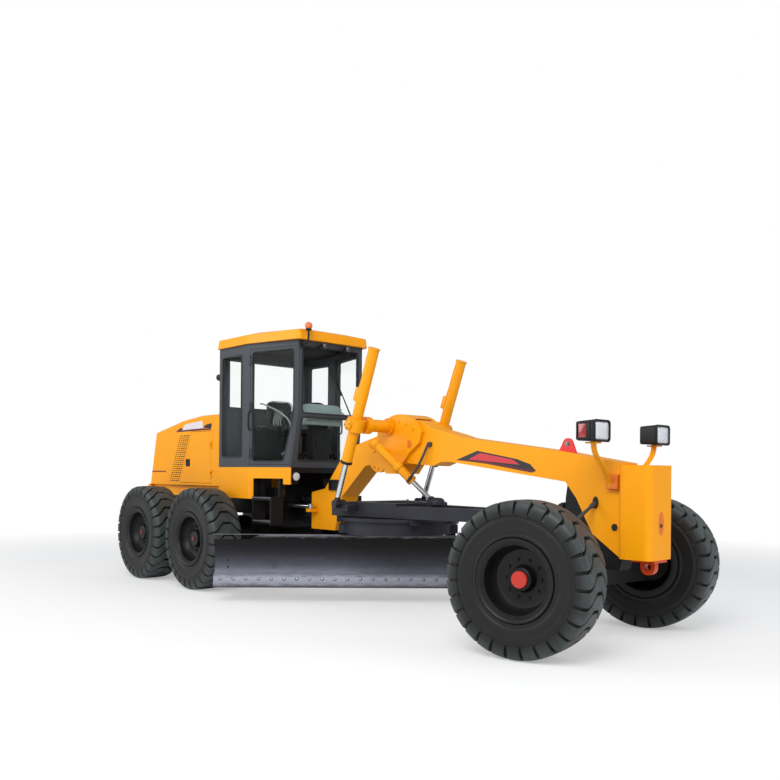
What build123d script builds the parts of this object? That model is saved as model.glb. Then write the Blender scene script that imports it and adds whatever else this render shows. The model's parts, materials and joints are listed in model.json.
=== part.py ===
"""A motor grader: rear frame with cab and engine hood, hinged to a long front frame that
carries the steered front axle, the drawbar, the circle and the blade.

Millimetres. +X is forward, +Y is left, +Z is up. The ground is Z = 0 and the origin lies
under the middle of the machine. Heights are above the ground."""

from math import cos, hypot, radians, sin, sqrt
import os

from build123d import *

os.makedirs("parts", exist_ok=True)

# ---------------------------------------------------------------- running gear
front_axle_x = 3787.0
wheelbase = 6219.0  # front axle to the middle of the tandem
tandem_spacing = 1538.0
track = 2156.0
tyre_radius = 675.0
tyre_width = 445.0
bead_radius = 317.5
flange_radius = 350.0
rest_steer = 13.5  # degrees to the left, as parked
kingpin_inset = 170.0  # kingpin to the middle plane of the wheel
fit_gap = 0.3  # between curved faces of different bodies
move_gap = 6.0  # between pieces that pass each other

half_track = track / 2
tandem_x = front_axle_x - wheelbase
middle_axle_x = tandem_x + tandem_spacing / 2
rear_axle_x = tandem_x - tandem_spacing / 2
kingpin_y = half_track - kingpin_inset

# ---------------------------------------------------------------- front frame
girder_width = 268.0
nose_width = 408.0
nose_front = 715.0  # ahead of the front axle
nose_back = 385.0
nose_bottom = 815.0
nose_top = 1655.0
hitch_back = 4480.0  # articulation pin behind the front axle
hitch_pin_radius = 45.0
hitch_low = 900.0
hitch_high = 1240.0
ear_thickness = 60.0
ear_radius = 110.0
hitch_x = front_axle_x - hitch_back

# ---------------------------------------------------------------- drawbar, circle and blade
ball_back = 330.0  # drawbar ball behind the front axle
ball_height = 1200.0
ball_radius = 58.0
circle_back = 2740.0
circle_radius = 640.0
circle_wall = 50.0
circle_bottom = 862.0
circle_top = 1050.0
circle_flange = 690.0
drawbar_top = 1225.0
rail_width = 130.0
rail_end_y = 500.0
blade_length = 4270.0
blade_bottom = 200.0
blade_height = 610.0
blade_curve = 420.0
blade_plate = 22.0
blade_angle = 48.3  # the blade's line from the +X axis, in degrees
blade_shift_now = 71.0  # side shift to the right, as parked
blade_ahead = -84.0  # cutting edge ahead of the circle's middle
tilt_pin_ahead = -300.0  # tilt pin ahead of the cutting edge
tilt_pin_height = 360.0
arm_offset = 645.0  # middle of each circle arm from the circle's middle
arm_thickness = 110.0

ball_x = front_axle_x - ball_back
circle_x = front_axle_x - circle_back

# ---------------------------------------------------------------- lift and shift cylinders
lift_pin_back = 3045.0
lift_pin_y = 700.0
lift_pin_height = 1205.0
trunnion_back = 2704.0
trunnion_height = 2110.0
trunnion_radius = 34.0
collar_half = 105.0
lift_above = 880.0  # barrel above the trunnion
lift_below = 470.0  # barrel below the trunnion
lift_barrel_radius = 62.0
lift_rod_radius = 32.0
shift_top = (-2601.0, -391.0, 1821.0)  # trunnion, ahead of the front axle
shift_low = (-2181.0, 0.0, 1262.0)  # eye, ahead of the front axle
shift_above = 160.0
shift_below = 500.0
shift_barrel_radius = 50.0
shift_rod_radius = 27.0
eye_lip = 2.0  # how far a rod's eye stands out past its rod, each way

# ---------------------------------------------------------------- articulation cylinders
steer_pin_y = 330.0
steer_pin_behind = 670.0  # rear pin behind the hitch
steer_eye_y = 215.0
steer_eye_ahead = 290.0  # front eye ahead of the hitch
steer_cylinder_height = 1130.0
steer_barrel_length = 600.0
steer_barrel_radius = 50.0
steer_rod_radius = 25.0
steer_pin_radius = 22.0

# ---------------------------------------------------------------- rear frame, hood and cab
frame_half_width = 470.0
frame_rail = 70.0
frame_bottom = 1000.0
frame_top = 1365.0
tail_behind = 3705.0  # tail end behind the hitch
hood_width = 1080.0
hood_wall = 40.0
hood_height = 2395.0
cab_width = 1500.0
cab_front_width = 1050.0
cab_rear_behind = 1120.0  # behind the hitch
cab_post_behind = 382.0  # door post behind the hitch
cab_front_ahead = 410.0  # ahead of the hitch
cab_floor = 1640.0
roof_height = 3420.0
roof_thickness = 168.0
cab_wall = 60.0
cab_sill = 1770.0
head_drop = 132.0  # window heads below the ceiling
door_drop = 72.0  # door tops below the ceiling
base_bottom = 1217.0
door_bottom = 1665.0
door_thickness = 40.0
glass_thickness = 8.0

cab_ceiling = roof_height - roof_thickness
cab_head = cab_ceiling - head_drop
door_top = cab_ceiling - door_drop
cab_rear_x = hitch_x - cab_rear_behind
cab_post_x = hitch_x - cab_post_behind
cab_front_x = hitch_x + cab_front_ahead
tail_x = hitch_x - tail_behind

sides = ((1, "left"), (-1, "right"))


def save(part, name):
    """Names the finished piece and writes it."""
    part.label = name
    export_step(part, f"parts/{name}.step")
    print(f"{name:24s} {len(part.solids())} solids {part.volume / 1e9:8.4f} m3")


def side_plane(x, y=0.0):
    """A plane seen from the right: sketch x runs forward from x, sketch y is the height."""
    return Plane(origin=(x, y, 0), x_dir=(1, 0, 0), z_dir=(0, -1, 0))


def block(x_range, y_range, z_range):
    """A box between the given limits."""
    lows = [min(r) for r in (x_range, y_range, z_range)]
    sizes = [abs(r[1] - r[0]) for r in (x_range, y_range, z_range)]
    middle = [low + size / 2 for low, size in zip(lows, sizes)]
    with BuildPart() as piece:
        with Locations(tuple(middle)):
            Box(*sizes)
    return piece.part


def bar(start, end, radius):
    """A round bar from one point to the other."""
    start, end = Vector(*start), Vector(*end)
    with BuildPart() as piece:
        with BuildSketch(Plane(origin=start, z_dir=end - start)):
            Circle(radius)
        extrude(amount=(end - start).length)
    return piece.part


def prism(plane, points, depth, both=True):
    """The closed outline on the plane, carried depth to both sides or to one."""
    with BuildPart() as piece:
        with BuildSketch(plane):
            with BuildLine():
                Polyline(*points, close=True)
            make_face()
        extrude(amount=depth, both=both)
    return piece.part


def ring(plane, points, axis):
    """The closed outline on the plane, turned round the axis."""
    with BuildPart() as piece:
        with BuildSketch(plane):
            with BuildLine():
                Polyline(*points, close=True)
            make_face()
        revolve(axis=axis)
    return piece.part


def rounded_block(x_range, y_range, z_range, radius):
    """A box with all its edges rounded."""
    with BuildPart() as piece:
        add(block(x_range, y_range, z_range))
        fillet(piece.edges(), radius)
    return piece.part


# ================================================================ front frame
# The welded girder in side view, in points (ahead of the front axle, height).
girder_top_line = (
    (nose_back, nose_top + 21),
    (-325, 1795),
    (-1595, 1959),
    (-1780, 2010),
    (-2072, 2080),
    (-2230, 2160),
    (-2380, 2190),
    (-2560, 2160),
    (-2790, 2056),
    (-3560, 1867),
    (-4000, 1363),
    (-hitch_back + 195, 1308),
)
girder_under_line = (
    (-hitch_back + 195, 833),
    (-3790, 833),
    (-3651, 1267),
    (-3199, 1654),
    (-2740, 1703),
    (-2025, 1652),
    (-1895, 1697),
    (-1750, 1695),
    (-230, 1498),
    (-106, 1349),
    (78, 1020),
    (nose_back, nose_bottom - 4),
)
with BuildPart() as front_frame:
    add(prism(side_plane(front_axle_x), girder_top_line + girder_under_line, girder_width / 2))
    # nose box with rounded upright edges
    with BuildSketch(Plane.XY.offset(nose_bottom)):
        with Locations((front_axle_x + (nose_front + nose_back) / 2, 0)):
            RectangleRounded(nose_front - nose_back, nose_width, 60)
    extrude(amount=nose_top - nose_bottom)
    # round relief over the axle
    with BuildSketch(side_plane(front_axle_x, girder_width)):
        with Locations((142, 973)):
            Circle(78)
    extrude(amount=-2 * girder_width, mode=Mode.SUBTRACT)
    # hitch ears
    for low in (hitch_low, hitch_high - ear_thickness):
        with BuildSketch(Plane.XY.offset(low)):
            with Locations((hitch_x, 0)):
                Circle(ear_radius)
            with Locations((hitch_x + 110, 0)):
                Rectangle(220, 2 * ear_radius)
        extrude(amount=ear_thickness)
    # lugs for the articulation cylinders
    for side, _ in sides:
        add(
            block(
                (hitch_x + steer_eye_ahead - 45, hitch_x + steer_eye_ahead + 45),
                (side * girder_width / 2, side * (steer_eye_y + 45)),
                (
                    steer_cylinder_height - steer_rod_radius - eye_lip - move_gap - 40,
                    steer_cylinder_height - steer_rod_radius - eye_lip - move_gap,
                ),
            )
        )
    with BuildSketch(Plane.XY.offset(hitch_low - 10)):
        with Locations((hitch_x, 0)):
            Circle(hitch_pin_radius + fit_gap)
    extrude(amount=hitch_high - hitch_low + 20, mode=Mode.SUBTRACT)
save(front_frame.part, "front_frame")

# Saddle: a ring round the girder's hump, with an arm to each lift trunnion.
trunnion_x = front_axle_x - trunnion_back
saddle_inner = girder_width / 2
saddle_plate = 50.0
saddle_low = 1560.0
saddle_high = 2250.0
arm_end = lift_pin_y - collar_half - 20
shift_pin = Vector(front_axle_x + shift_top[0], shift_top[1], shift_top[2])
shift_eye = Vector(front_axle_x + shift_low[0], shift_low[1], shift_low[2])
shift_line = (shift_eye - shift_pin).normalized()
shift_axis = Vector(-shift_line.Y, shift_line.X, 0).normalized()
hump_radius = 443.0
hump_middle = (158.0, saddle_high - hump_radius)  # ahead of the trunnion, height
hump_reach = 377.0  # half of the hump's length where the arc ends
cap_low = 2192.0
cap_half = sqrt(hump_radius**2 - (cap_low - hump_middle[1]) ** 2)
hump_foot = hump_middle[1] + sqrt(hump_radius**2 - hump_reach**2)
lobe_middle = (-196.0, saddle_low + 180)
lobe_radius = 165.0
arm_radius = 72.0
hub_radius = 98.0
with BuildPart() as saddle:
    for side, _ in sides:
        plate = side_plane(trunnion_x, side * (saddle_inner + saddle_plate / 2))
        # side plate: a round hump over the girder, a round lobe behind, a cut lower corner
        with BuildSketch(plate):
            with BuildLine():
                ThreePointArc(
                    (hump_middle[0] - hump_reach, hump_foot),
                    (hump_middle[0], saddle_high),
                    (hump_middle[0] + hump_reach, hump_foot),
                )
                Polyline(
                    (hump_middle[0] + hump_reach, hump_foot),
                    (hump_middle[0] + hump_reach - 40, hump_foot - 130),
                    (330, saddle_low + 240),
                    (120, saddle_low),
                    (-60, saddle_low),
                    (lobe_middle[0], lobe_middle[1]),
                    (hump_middle[0] - hump_reach, hump_foot),
                )
            make_face()
            with Locations(lobe_middle):
                Circle(lobe_radius)
        extrude(amount=saddle_plate / 2, both=True)
        # arm with a hub at each end, and the trunnion
        for start, end, radius in (
            (saddle_inner, arm_end, arm_radius),
            (saddle_inner + saddle_plate - 1, saddle_inner + saddle_plate + 40, hub_radius),
            (arm_end - 75, arm_end, hub_radius),
        ):
            add(
                bar(
                    (trunnion_x, side * start, trunnion_height),
                    (trunnion_x, side * end, trunnion_height),
                    radius,
                )
            )
        stub_end = lift_pin_y - lift_barrel_radius - fit_gap
        add(
            bar(
                (trunnion_x, side * (arm_end - 1), trunnion_height),
                (trunnion_x, side * stub_end, trunnion_height),
                trunnion_radius,
            )
        )
    # cap over the girder between the side plates
    with BuildSketch(side_plane(trunnion_x)):
        with BuildLine():
            ThreePointArc(
                (hump_middle[0] - cap_half, cap_low),
                (hump_middle[0], saddle_high),
                (hump_middle[0] + cap_half, cap_low),
            )
            Line((hump_middle[0] + cap_half, cap_low), (hump_middle[0] - cap_half, cap_low))
        make_face()
    extrude(amount=saddle_inner + 5, both=True)
    # stub that carries the centre-shift cylinder
    stub_length = (abs(shift_pin.Y) - saddle_inner - 35) / shift_axis.Y
    add(
        bar(
            shift_pin + shift_axis * (shift_barrel_radius + fit_gap),
            shift_pin + shift_axis * stub_length,
            trunnion_radius,
        )
    )
save(saddle.part, "saddle")

# Black carrier under the nose: it holds the axle's middle and the drawbar ball.
carrier_half = 92.0
axle_top = 735.0
axle_bottom = 528.0
knuckle_half = 85.0  # half the height of the kingpin barrel
kingpin_ear = 35.0
kingpin_radius = 28.0
with BuildPart() as front_axle:
    add(
        prism(
            side_plane(front_axle_x),
            (
                (-230, 1497),
                (-106, 1348.5),
                (78, 1019.5),
                (nose_back - 5, nose_bottom - 5),
                (nose_back - 40, axle_top - 40),
                (-55, axle_top - 40),
                (-55, 920),
                (-110, 1050),
                (-255, 1110),
                (-255, 1340),
            ),
            carrier_half,
        )
    )
    add(bar((front_axle_x - 250, 0, ball_height), (ball_x, 0, ball_height), 28))
    with Locations((ball_x, 0, ball_height)):
        Sphere(ball_radius)
    # beam, drooping a little to its ends
    beam_end = kingpin_y - 75
    for side, _ in sides:
        with BuildSketch(Plane.XZ.offset(-side * beam_end)):
            with Locations((front_axle_x, 600)):
                Rectangle(150, 190)
        with BuildSketch(Plane.XZ):
            with Locations((front_axle_x, (axle_top + axle_bottom) / 2)):
                Rectangle(220, axle_top - axle_bottom)
        loft()
        # yoke round the knuckle
        add(
            block(
                (front_axle_x - 45, front_axle_x + 45),
                (side * (beam_end - 40), side * (kingpin_y - 75)),
                (
                    tyre_radius - knuckle_half - kingpin_ear,
                    tyre_radius + knuckle_half + kingpin_ear,
                ),
            )
        )
        for low in (-knuckle_half - kingpin_ear, knuckle_half):
            with BuildSketch(Plane.XY.offset(tyre_radius + low)):
                with Locations((front_axle_x, side * kingpin_y)):
                    Circle(50)
                with Locations((front_axle_x, side * (kingpin_y - 50))):
                    Rectangle(90, 100)
            extrude(amount=kingpin_ear)
            with BuildSketch(Plane.XY.offset(tyre_radius + low)):
                with Locations((front_axle_x, side * kingpin_y)):
                    Circle(kingpin_radius + fit_gap)
            extrude(amount=kingpin_ear, mode=Mode.SUBTRACT)
save(front_axle.part, "front_axle")

# Knuckles: the kingpin with its barrel, the spindle and the steering arm on top.
arm_length = 135.0
arm_plate = 22.0
steer_arm_z = tyre_radius + knuckle_half + kingpin_ear + move_gap
spindle_radius = 45.0
front_hub_out = 100.0  # hub cap's face from the wheel's middle plane
rear_hub_out = 130.0
hub_cap_wall = 12.0
stud_radius = 12.0
rod_end_radius = 30.0
rod_end_height = 44.0


def wheel_frame(x, side, turn=0.0, steered=False):
    """The wheel's centre and its outward axis."""
    out = Vector(-sin(radians(turn)) * side, cos(radians(turn)) * side, 0)
    if steered:
        pin = Vector(x, side * kingpin_y, tyre_radius)
        return pin + out * kingpin_inset, out
    return Vector(x, side * half_track, tyre_radius), out


def rear_dir(turn):
    """Backward direction of a steered wheel."""
    return Vector(-cos(radians(turn)), -sin(radians(turn)), 0)


arm_ends = {}
for side, name in sides:
    centre, out = wheel_frame(front_axle_x, side, rest_steer, True)
    pin = Vector(front_axle_x, side * kingpin_y, 0)
    back = rear_dir(rest_steer)
    arm_end = pin + back * arm_length + Vector(0, 0, steer_arm_z)
    arm_ends[name] = arm_end
    with BuildPart() as knuckle:
        with BuildSketch(Plane.XY.offset(tyre_radius - knuckle_half + fit_gap)):
            with Locations((pin.X, pin.Y)):
                Circle(60)
        extrude(amount=2 * (knuckle_half - fit_gap))
        with BuildSketch(Plane.XY.offset(tyre_radius - knuckle_half - kingpin_ear)):
            with Locations((pin.X, pin.Y)):
                Circle(kingpin_radius)
        extrude(amount=2 * (knuckle_half + kingpin_ear) + move_gap + arm_plate)
        spindle_end = front_hub_out - hub_cap_wall - 2
        add(bar(pin + Vector(0, 0, tyre_radius), centre + out * spindle_end, spindle_radius))
        with BuildSketch(Plane(origin=pin + Vector(0, 0, steer_arm_z), x_dir=back, z_dir=(0, 0, 1))):
            with BuildLine():
                Polyline((-45, -40), (arm_length, -28), (arm_length, 28), (-45, 40), close=True)
            make_face()
            with Locations((arm_length, 0)):
                Circle(28)
        extrude(amount=arm_plate)
        with BuildSketch(Plane.XY.offset(steer_arm_z + arm_plate)):
            with Locations((arm_end.X, arm_end.Y)):
                Circle(stud_radius)
        extrude(amount=rod_end_height)
    save(knuckle.part, f"knuckle_{name}")

with BuildPart() as tie_rod:
    for name, end in arm_ends.items():
        with BuildSketch(Plane.XY.offset(steer_arm_z + arm_plate + fit_gap)):
            with Locations((end.X, end.Y)):
                Circle(rod_end_radius)
                Circle(stud_radius + fit_gap, mode=Mode.SUBTRACT)
        extrude(amount=rod_end_height)
    left_end, right_end = arm_ends["left"], arm_ends["right"]
    tie_z = Vector(0, 0, arm_plate + rod_end_height / 2 + fit_gap)
    direction = (left_end - right_end).normalized()
    add(bar(right_end + tie_z + direction * 22, left_end + tie_z - direction * 22, 17))
save(tie_rod.part, "tie_rod")

# ================================================================ wheels
# Sections are (outward from the middle plane, radius).
bead_half = 205.0
rim_half = 222.0
flange_step = 12.0
bead_side = bead_half - flange_step - fit_gap
tyre_half_section = (
    (bead_side, bead_radius + fit_gap),
    (bead_side, flange_radius + 6),
    (tyre_width / 2, 0.71 * tyre_radius),
    (tyre_width / 2 - 26, tyre_radius),
)
tyre_section = (
    *((-across, radius) for across, radius in tyre_half_section),
    *reversed(tyre_half_section),
)
lug_count = 27
groove_width = 34.0
groove_depth = 32.0
groove_slant = 20.0  # degrees from the axle's direction
rim_base = 300.0


def rim_section(disc_in, hub_out):
    """Half of the rim with its disc and hub, cut through the axle."""
    bore = spindle_radius + fit_gap
    return (
        (-rim_half + 10, rim_base - 12),
        (-rim_half + 10, flange_radius),
        (-bead_half + flange_step, flange_radius),
        (-bead_half + flange_step, bead_radius),
        (bead_half - flange_step, bead_radius),
        (bead_half - flange_step, flange_radius),
        (rim_half - 10, flange_radius),
        (rim_half - 10, rim_base - 12),
        (disc_in + 100, rim_base - 12),
        (disc_in + 25, 210),
        (disc_in + 25, 110),
        (hub_out - 20, 95),
        (hub_out, 78),
        (hub_out, 0),
        (hub_out - hub_cap_wall, 0),
        (hub_out - hub_cap_wall, bore),
        (disc_in - 70, bore),
        (disc_in - 70, 100),
        (disc_in, 120),
        (disc_in, 200),
        (disc_in + 60, rim_base - 12),
    )


def tyre_with_lugs(centre, out):
    """A tyre with a flat facet for each lug, the first at the ground, and slanting grooves."""
    step = radians(360 / lug_count)
    corner = 1 / cos(step / 2)  # from a facet's middle out to its corner
    forward = out.cross(Vector(0, 0, 1))

    def point(across, radius, turn):
        """A point on a corner line of the faceted ring."""
        spoke = Vector(0, 0, -cos(turn * step)) + forward * sin(turn * step)
        return centre + out * across + spoke * (radius * corner)

    facets = []
    for lug in range(lug_count):
        for one, two in zip(tyre_section, tyre_section[1:] + tyre_section[:1]):
            turns = (lug - 0.5, lug + 0.5)
            corners = (
                point(*one, turns[0]),
                point(*one, turns[1]),
                point(*two, turns[1]),
                point(*two, turns[0]),
            )
            facets.append(Face(Wire.make_polygon(corners, close=True)))
    with BuildPart() as grooves:
        for lug in range(lug_count):
            crest = point(0, tyre_radius, lug + 0.5)
            spoke = (crest - centre).normalized()
            slant = radians(groove_slant)
            run = out * cos(slant) + spoke.cross(out) * sin(slant)
            floor = Plane(origin=crest - spoke * groove_depth, x_dir=run, z_dir=spoke)
            with BuildSketch(floor):
                Rectangle(1.3 * tyre_width, groove_width)
            extrude(amount=2 * groove_depth)
    with BuildPart() as tyre:
        add(Solid(Shell(facets)))
        add(grooves.part, mode=Mode.SUBTRACT)
    return tyre.part


wheels = (  # name, axle x, side, hub cap's face outward, steered
    ("front_left", front_axle_x, 1, front_hub_out, True),
    ("front_right", front_axle_x, -1, front_hub_out, True),
    ("middle_left", middle_axle_x, 1, rear_hub_out, False),
    ("middle_right", middle_axle_x, -1, rear_hub_out, False),
    ("rear_left", rear_axle_x, 1, rear_hub_out, False),
    ("rear_right", rear_axle_x, -1, rear_hub_out, False),
)
for name, axle_x, side, hub_out, steered in wheels:
    centre, out = wheel_frame(axle_x, side, rest_steer if steered else 0.0, steered)
    section = Plane(origin=centre, x_dir=out, z_dir=out.cross(Vector(0, 0, 1)))
    axle = Axis(centre, out)
    save(tyre_with_lugs(centre, out), f"tyre_{name}")
    rim = ring(section, rim_section(hub_out - 70, hub_out), axle)
    save(rim, f"rim_{name}")

# ================================================================ drawbar
rail_bottom = circle_top + 10.0
rail_start = 50.0  # behind the ball
rail_end = 3300.0  # behind the front axle
rail_start_y = 55.0
rail_slope = (rail_end_y - rail_start_y) / (rail_end - ball_back - rail_start)
plate_thickness = 30.0
head_radius = 98.0
shoe_out = circle_flange + 40.0
lift_pin_x = front_axle_x - lift_pin_back


def rail_y(behind):
    """Half spread of the rails at a distance behind the front axle."""
    return rail_start_y + rail_slope * (behind - ball_back - rail_start)


def rail_crossing(sign):
    """Where a rail's middle line crosses the circle's edge, behind the front axle."""
    low, high = (circle_back, rail_end + 300) if sign > 0 else (ball_back, circle_back)
    for _ in range(60):
        middle = (low + high) / 2
        outside = hypot(middle - circle_back, rail_y(middle)) > circle_flange + 10
        if outside == (sign > 0):
            high = middle
        else:
            low = middle
    return middle


with BuildPart() as drawbar:
    for side, _ in sides:
        with BuildSketch(Plane.XY.offset(rail_bottom)):
            with BuildLine():
                Polyline(
                    (front_axle_x - ball_back - rail_start, side * 10),
                    (front_axle_x - ball_back - rail_start, side * (rail_start_y + rail_width / 2)),
                    (front_axle_x - rail_end, side * (rail_end_y + rail_width / 2)),
                    (front_axle_x - rail_end, side * (rail_end_y - rail_width / 2)),
                    close=True,
                )
            make_face()
        extrude(amount=drawbar_top - plate_thickness - rail_bottom)
        # wing plate out to the lift cylinder's eye
        lug_out = lift_pin_y - lift_rod_radius - eye_lip - move_gap
        add(
            block(
                (lift_pin_x - 110, lift_pin_x + 160),
                (0, side * lug_out),
                (drawbar_top - plate_thickness - 70, drawbar_top - plate_thickness),
            )
        )
        with BuildSketch(Plane.XZ.offset(-side * lug_out)):
            with Locations((lift_pin_x, lift_pin_height)):
                Circle(52)
        extrude(amount=side * 70)
        # guide shoes that hold the circle
        for sign in (1, -1):
            behind = rail_crossing(sign)
            out = Vector(circle_back - behind, side * rail_y(behind), 0).normalized()
            place = Plane(
                origin=(circle_x, 0, 0), x_dir=out, z_dir=out.cross(Vector(0, 0, 1))
            )
            add(
                prism(
                    place,
                    (
                        (circle_radius + 15, circle_top - 65),
                        (shoe_out, circle_top - 65),
                        (shoe_out, rail_bottom + 5),
                        (circle_radius - 30, rail_bottom + 5),
                        (circle_radius - 30, circle_top + fit_gap),
                        (circle_flange + fit_gap, circle_top + fit_gap),
                        (circle_flange + fit_gap, circle_top - 35 - fit_gap),
                        (circle_radius + 15, circle_top - 35 - fit_gap),
                    ),
                    60,
                )
            )
    # top plate over the circle, and the cross member with the shift cylinder's lug
    with BuildSketch(Plane.XY.offset(drawbar_top - plate_thickness)):
        with BuildLine():
            Polyline(
                (shift_eye.X - 150, -rail_y(-shift_low[0] + 150) - 60),
                (shift_eye.X - 150, rail_y(-shift_low[0] + 150) + 60),
                (front_axle_x - rail_end + 90, rail_end_y + 40),
                (front_axle_x - rail_end + 90, -rail_end_y - 40),
                close=True,
            )
        make_face()
        with Locations((circle_x, 0)):
            Circle(rail_y(circle_back) - 120, mode=Mode.SUBTRACT)
    extrude(amount=plate_thickness)
    add(
        block(
            (shift_eye.X - 80, shift_eye.X + 80),
            (-rail_y(-shift_low[0]), rail_y(-shift_low[0])),
            (rail_bottom + 10, drawbar_top - 60),
        )
    )
    lug_middle = shift_eye - shift_axis * (shift_rod_radius + eye_lip + move_gap + 25)
    with BuildSketch(Plane(origin=lug_middle, x_dir=(0, 0, 1), z_dir=shift_axis)):
        Circle(48)
        with Locations((-50, 0)):
            Rectangle(100, 96)
    extrude(amount=25, both=True)
    # socket round the ball
    with Locations((ball_x, 0, ball_height)):
        Sphere(head_radius)
    add(
        block(
            (ball_x - head_radius - 60, ball_x - 50),
            (-rail_start_y - rail_width / 2 + 10, rail_start_y + rail_width / 2 - 10),
            (rail_bottom, drawbar_top + 30),
        )
    )
    with Locations((ball_x, 0, ball_height)):
        Sphere(ball_radius + fit_gap, mode=Mode.SUBTRACT)
    add(
        block(
            (ball_x + 24, ball_x + head_radius + 5),
            (-head_radius - 5, head_radius + 5),
            (ball_height - head_radius - 5, ball_height + head_radius + 5),
        ),
        mode=Mode.SUBTRACT,
    )
save(drawbar.part, "drawbar")

# ================================================================ circle and blade
# The blade's own directions: u along the blade towards its far, left end, n out of its
# front face. Points are (ahead, height), ahead being measured along n from the cutting edge.
blade_u = Vector(cos(radians(blade_angle)), sin(radians(blade_angle)), 0)
blade_n = Vector(blade_u.Y, -blade_u.X, 0)
circle_middle = Vector(circle_x, 0, 0)
edge_line = circle_middle + blade_n * blade_ahead
tilt_pin = edge_line + blade_n * tilt_pin_ahead + Vector(0, 0, tilt_pin_height)


def across(along):
    """The plane square to the blade at a distance along it: sketch x is ahead, y is up."""
    return Plane(origin=edge_line + blade_u * along, x_dir=blade_n, z_dir=-blade_u)


arm_low_ahead = tilt_pin_ahead - blade_ahead
pin_boss = 58.0
pin_radius = 28.0
with BuildPart() as circle:
    with BuildSketch(Plane.XY.offset(circle_bottom)):
        with Locations((circle_x, 0)):
            Circle(circle_radius)
            Circle(circle_radius - circle_wall, mode=Mode.SUBTRACT)
    extrude(amount=circle_top - circle_bottom)
    with BuildSketch(Plane.XY.offset(circle_top - 35)):
        with Locations((circle_x, 0)):
            Circle(circle_flange)
            Circle(circle_radius - circle_wall - 30, mode=Mode.SUBTRACT)
    extrude(amount=35)
    for side in (1, -1):
        middle = side * arm_offset
        add(
            prism(
                across(middle),
                (
                    (-blade_ahead + 130, circle_bottom),
                    (-blade_ahead + 130, circle_top - 85),
                    (-blade_ahead - 420, circle_top - 85),
                    (tilt_pin_ahead - 70, 720),
                    (tilt_pin_ahead - 50, tilt_pin_height),
                    (tilt_pin_ahead + 20, tilt_pin_height),
                    (tilt_pin_ahead + 20, 700),
                    (-blade_ahead - 150, circle_bottom),
                ),
                arm_thickness / 2,
            )
        )
        with BuildSketch(across(middle)):
            with Locations((tilt_pin_ahead, tilt_pin_height)):
                Circle(pin_boss)
        extrude(amount=arm_thickness / 2, both=True)
        with BuildSketch(across(middle)):
            with Locations((tilt_pin_ahead, tilt_pin_height)):
                Circle(pin_radius + fit_gap)
        extrude(amount=arm_thickness / 2 + 1, both=True, mode=Mode.SUBTRACT)
save(circle.part, "circle")

# Carrier: two brackets on the tilt pins, a cross tube and the side-shift barrel.
bracket_thickness = 60.0
bracket_middle = arm_offset - arm_thickness / 2 - bracket_thickness / 2 - 5
slide_back = -176.0  # back face of the blade's slide rails, ahead of the edge
slide_front = -118.0
slide_rails = ((320.0, 370.0), (600.0, 650.0))  # bottom and top heights
shift_barrel_height = 440.0
side_rod_radius = 25.0
side_barrel_radius = 34.0
side_rod_ahead = slide_back - side_barrel_radius - 2
side_barrel_half = 650.0
blade_stop = 600.0  # side shift each way from the middle
with BuildPart() as carrier:
    for side in (1, -1):
        add(
            prism(
                across(side * bracket_middle),
                (
                    (tilt_pin_ahead - 50, tilt_pin_height - 20),
                    (slide_back - fit_gap, slide_rails[0][0] - 30),
                    (slide_back - fit_gap, slide_rails[1][1] + 30),
                    (slide_back - 60, slide_rails[1][1] + 30),
                    (tilt_pin_ahead - 40, 460),
                ),
                bracket_thickness / 2,
            )
        )
        for low, high in slide_rails:
            for lip_low, lip_high in ((low - 30, low - fit_gap), (high + fit_gap, high + 30)):
                add(
                    prism(
                        across(side * bracket_middle),
                        (
                            (slide_back - 20, lip_low),
                            (slide_back + 26, lip_low),
                            (slide_back + 26, lip_high),
                            (slide_back - 20, lip_high),
                        ),
                        bracket_thickness / 2,
                    )
                )
        inner = side * (bracket_middle - bracket_thickness / 2)
        outer = side * (arm_offset + arm_thickness / 2)
        place = across(0)
        add(
            bar(
                place.from_local_coords(Vector(tilt_pin_ahead, tilt_pin_height, -inner)),
                place.from_local_coords(Vector(tilt_pin_ahead, tilt_pin_height, -outer)),
                pin_radius,
            )
        )
        with BuildSketch(across(side * bracket_middle)):
            with Locations((tilt_pin_ahead, tilt_pin_height)):
                Circle(pin_boss)
        extrude(amount=bracket_thickness / 2, both=True)
    place = across(0)
    add(
        bar(
            place.from_local_coords(Vector(tilt_pin_ahead + 20, 560, bracket_middle)),
            place.from_local_coords(Vector(tilt_pin_ahead + 20, 560, -bracket_middle)),
            38,
        )
    )
    barrel_ends = (-side_barrel_half, side_barrel_half)
    points = [
        place.from_local_coords(Vector(side_rod_ahead, shift_barrel_height, end))
        for end in barrel_ends
    ]
    add(bar(points[0], points[1], side_barrel_radius))
    rod_bore_end = place.from_local_coords(
        Vector(side_rod_ahead, shift_barrel_height, -side_barrel_half + 15)
    )
    add(bar(points[1], rod_bore_end, side_rod_radius + fit_gap), mode=Mode.SUBTRACT)
save(carrier.part, "blade_carrier")

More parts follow.
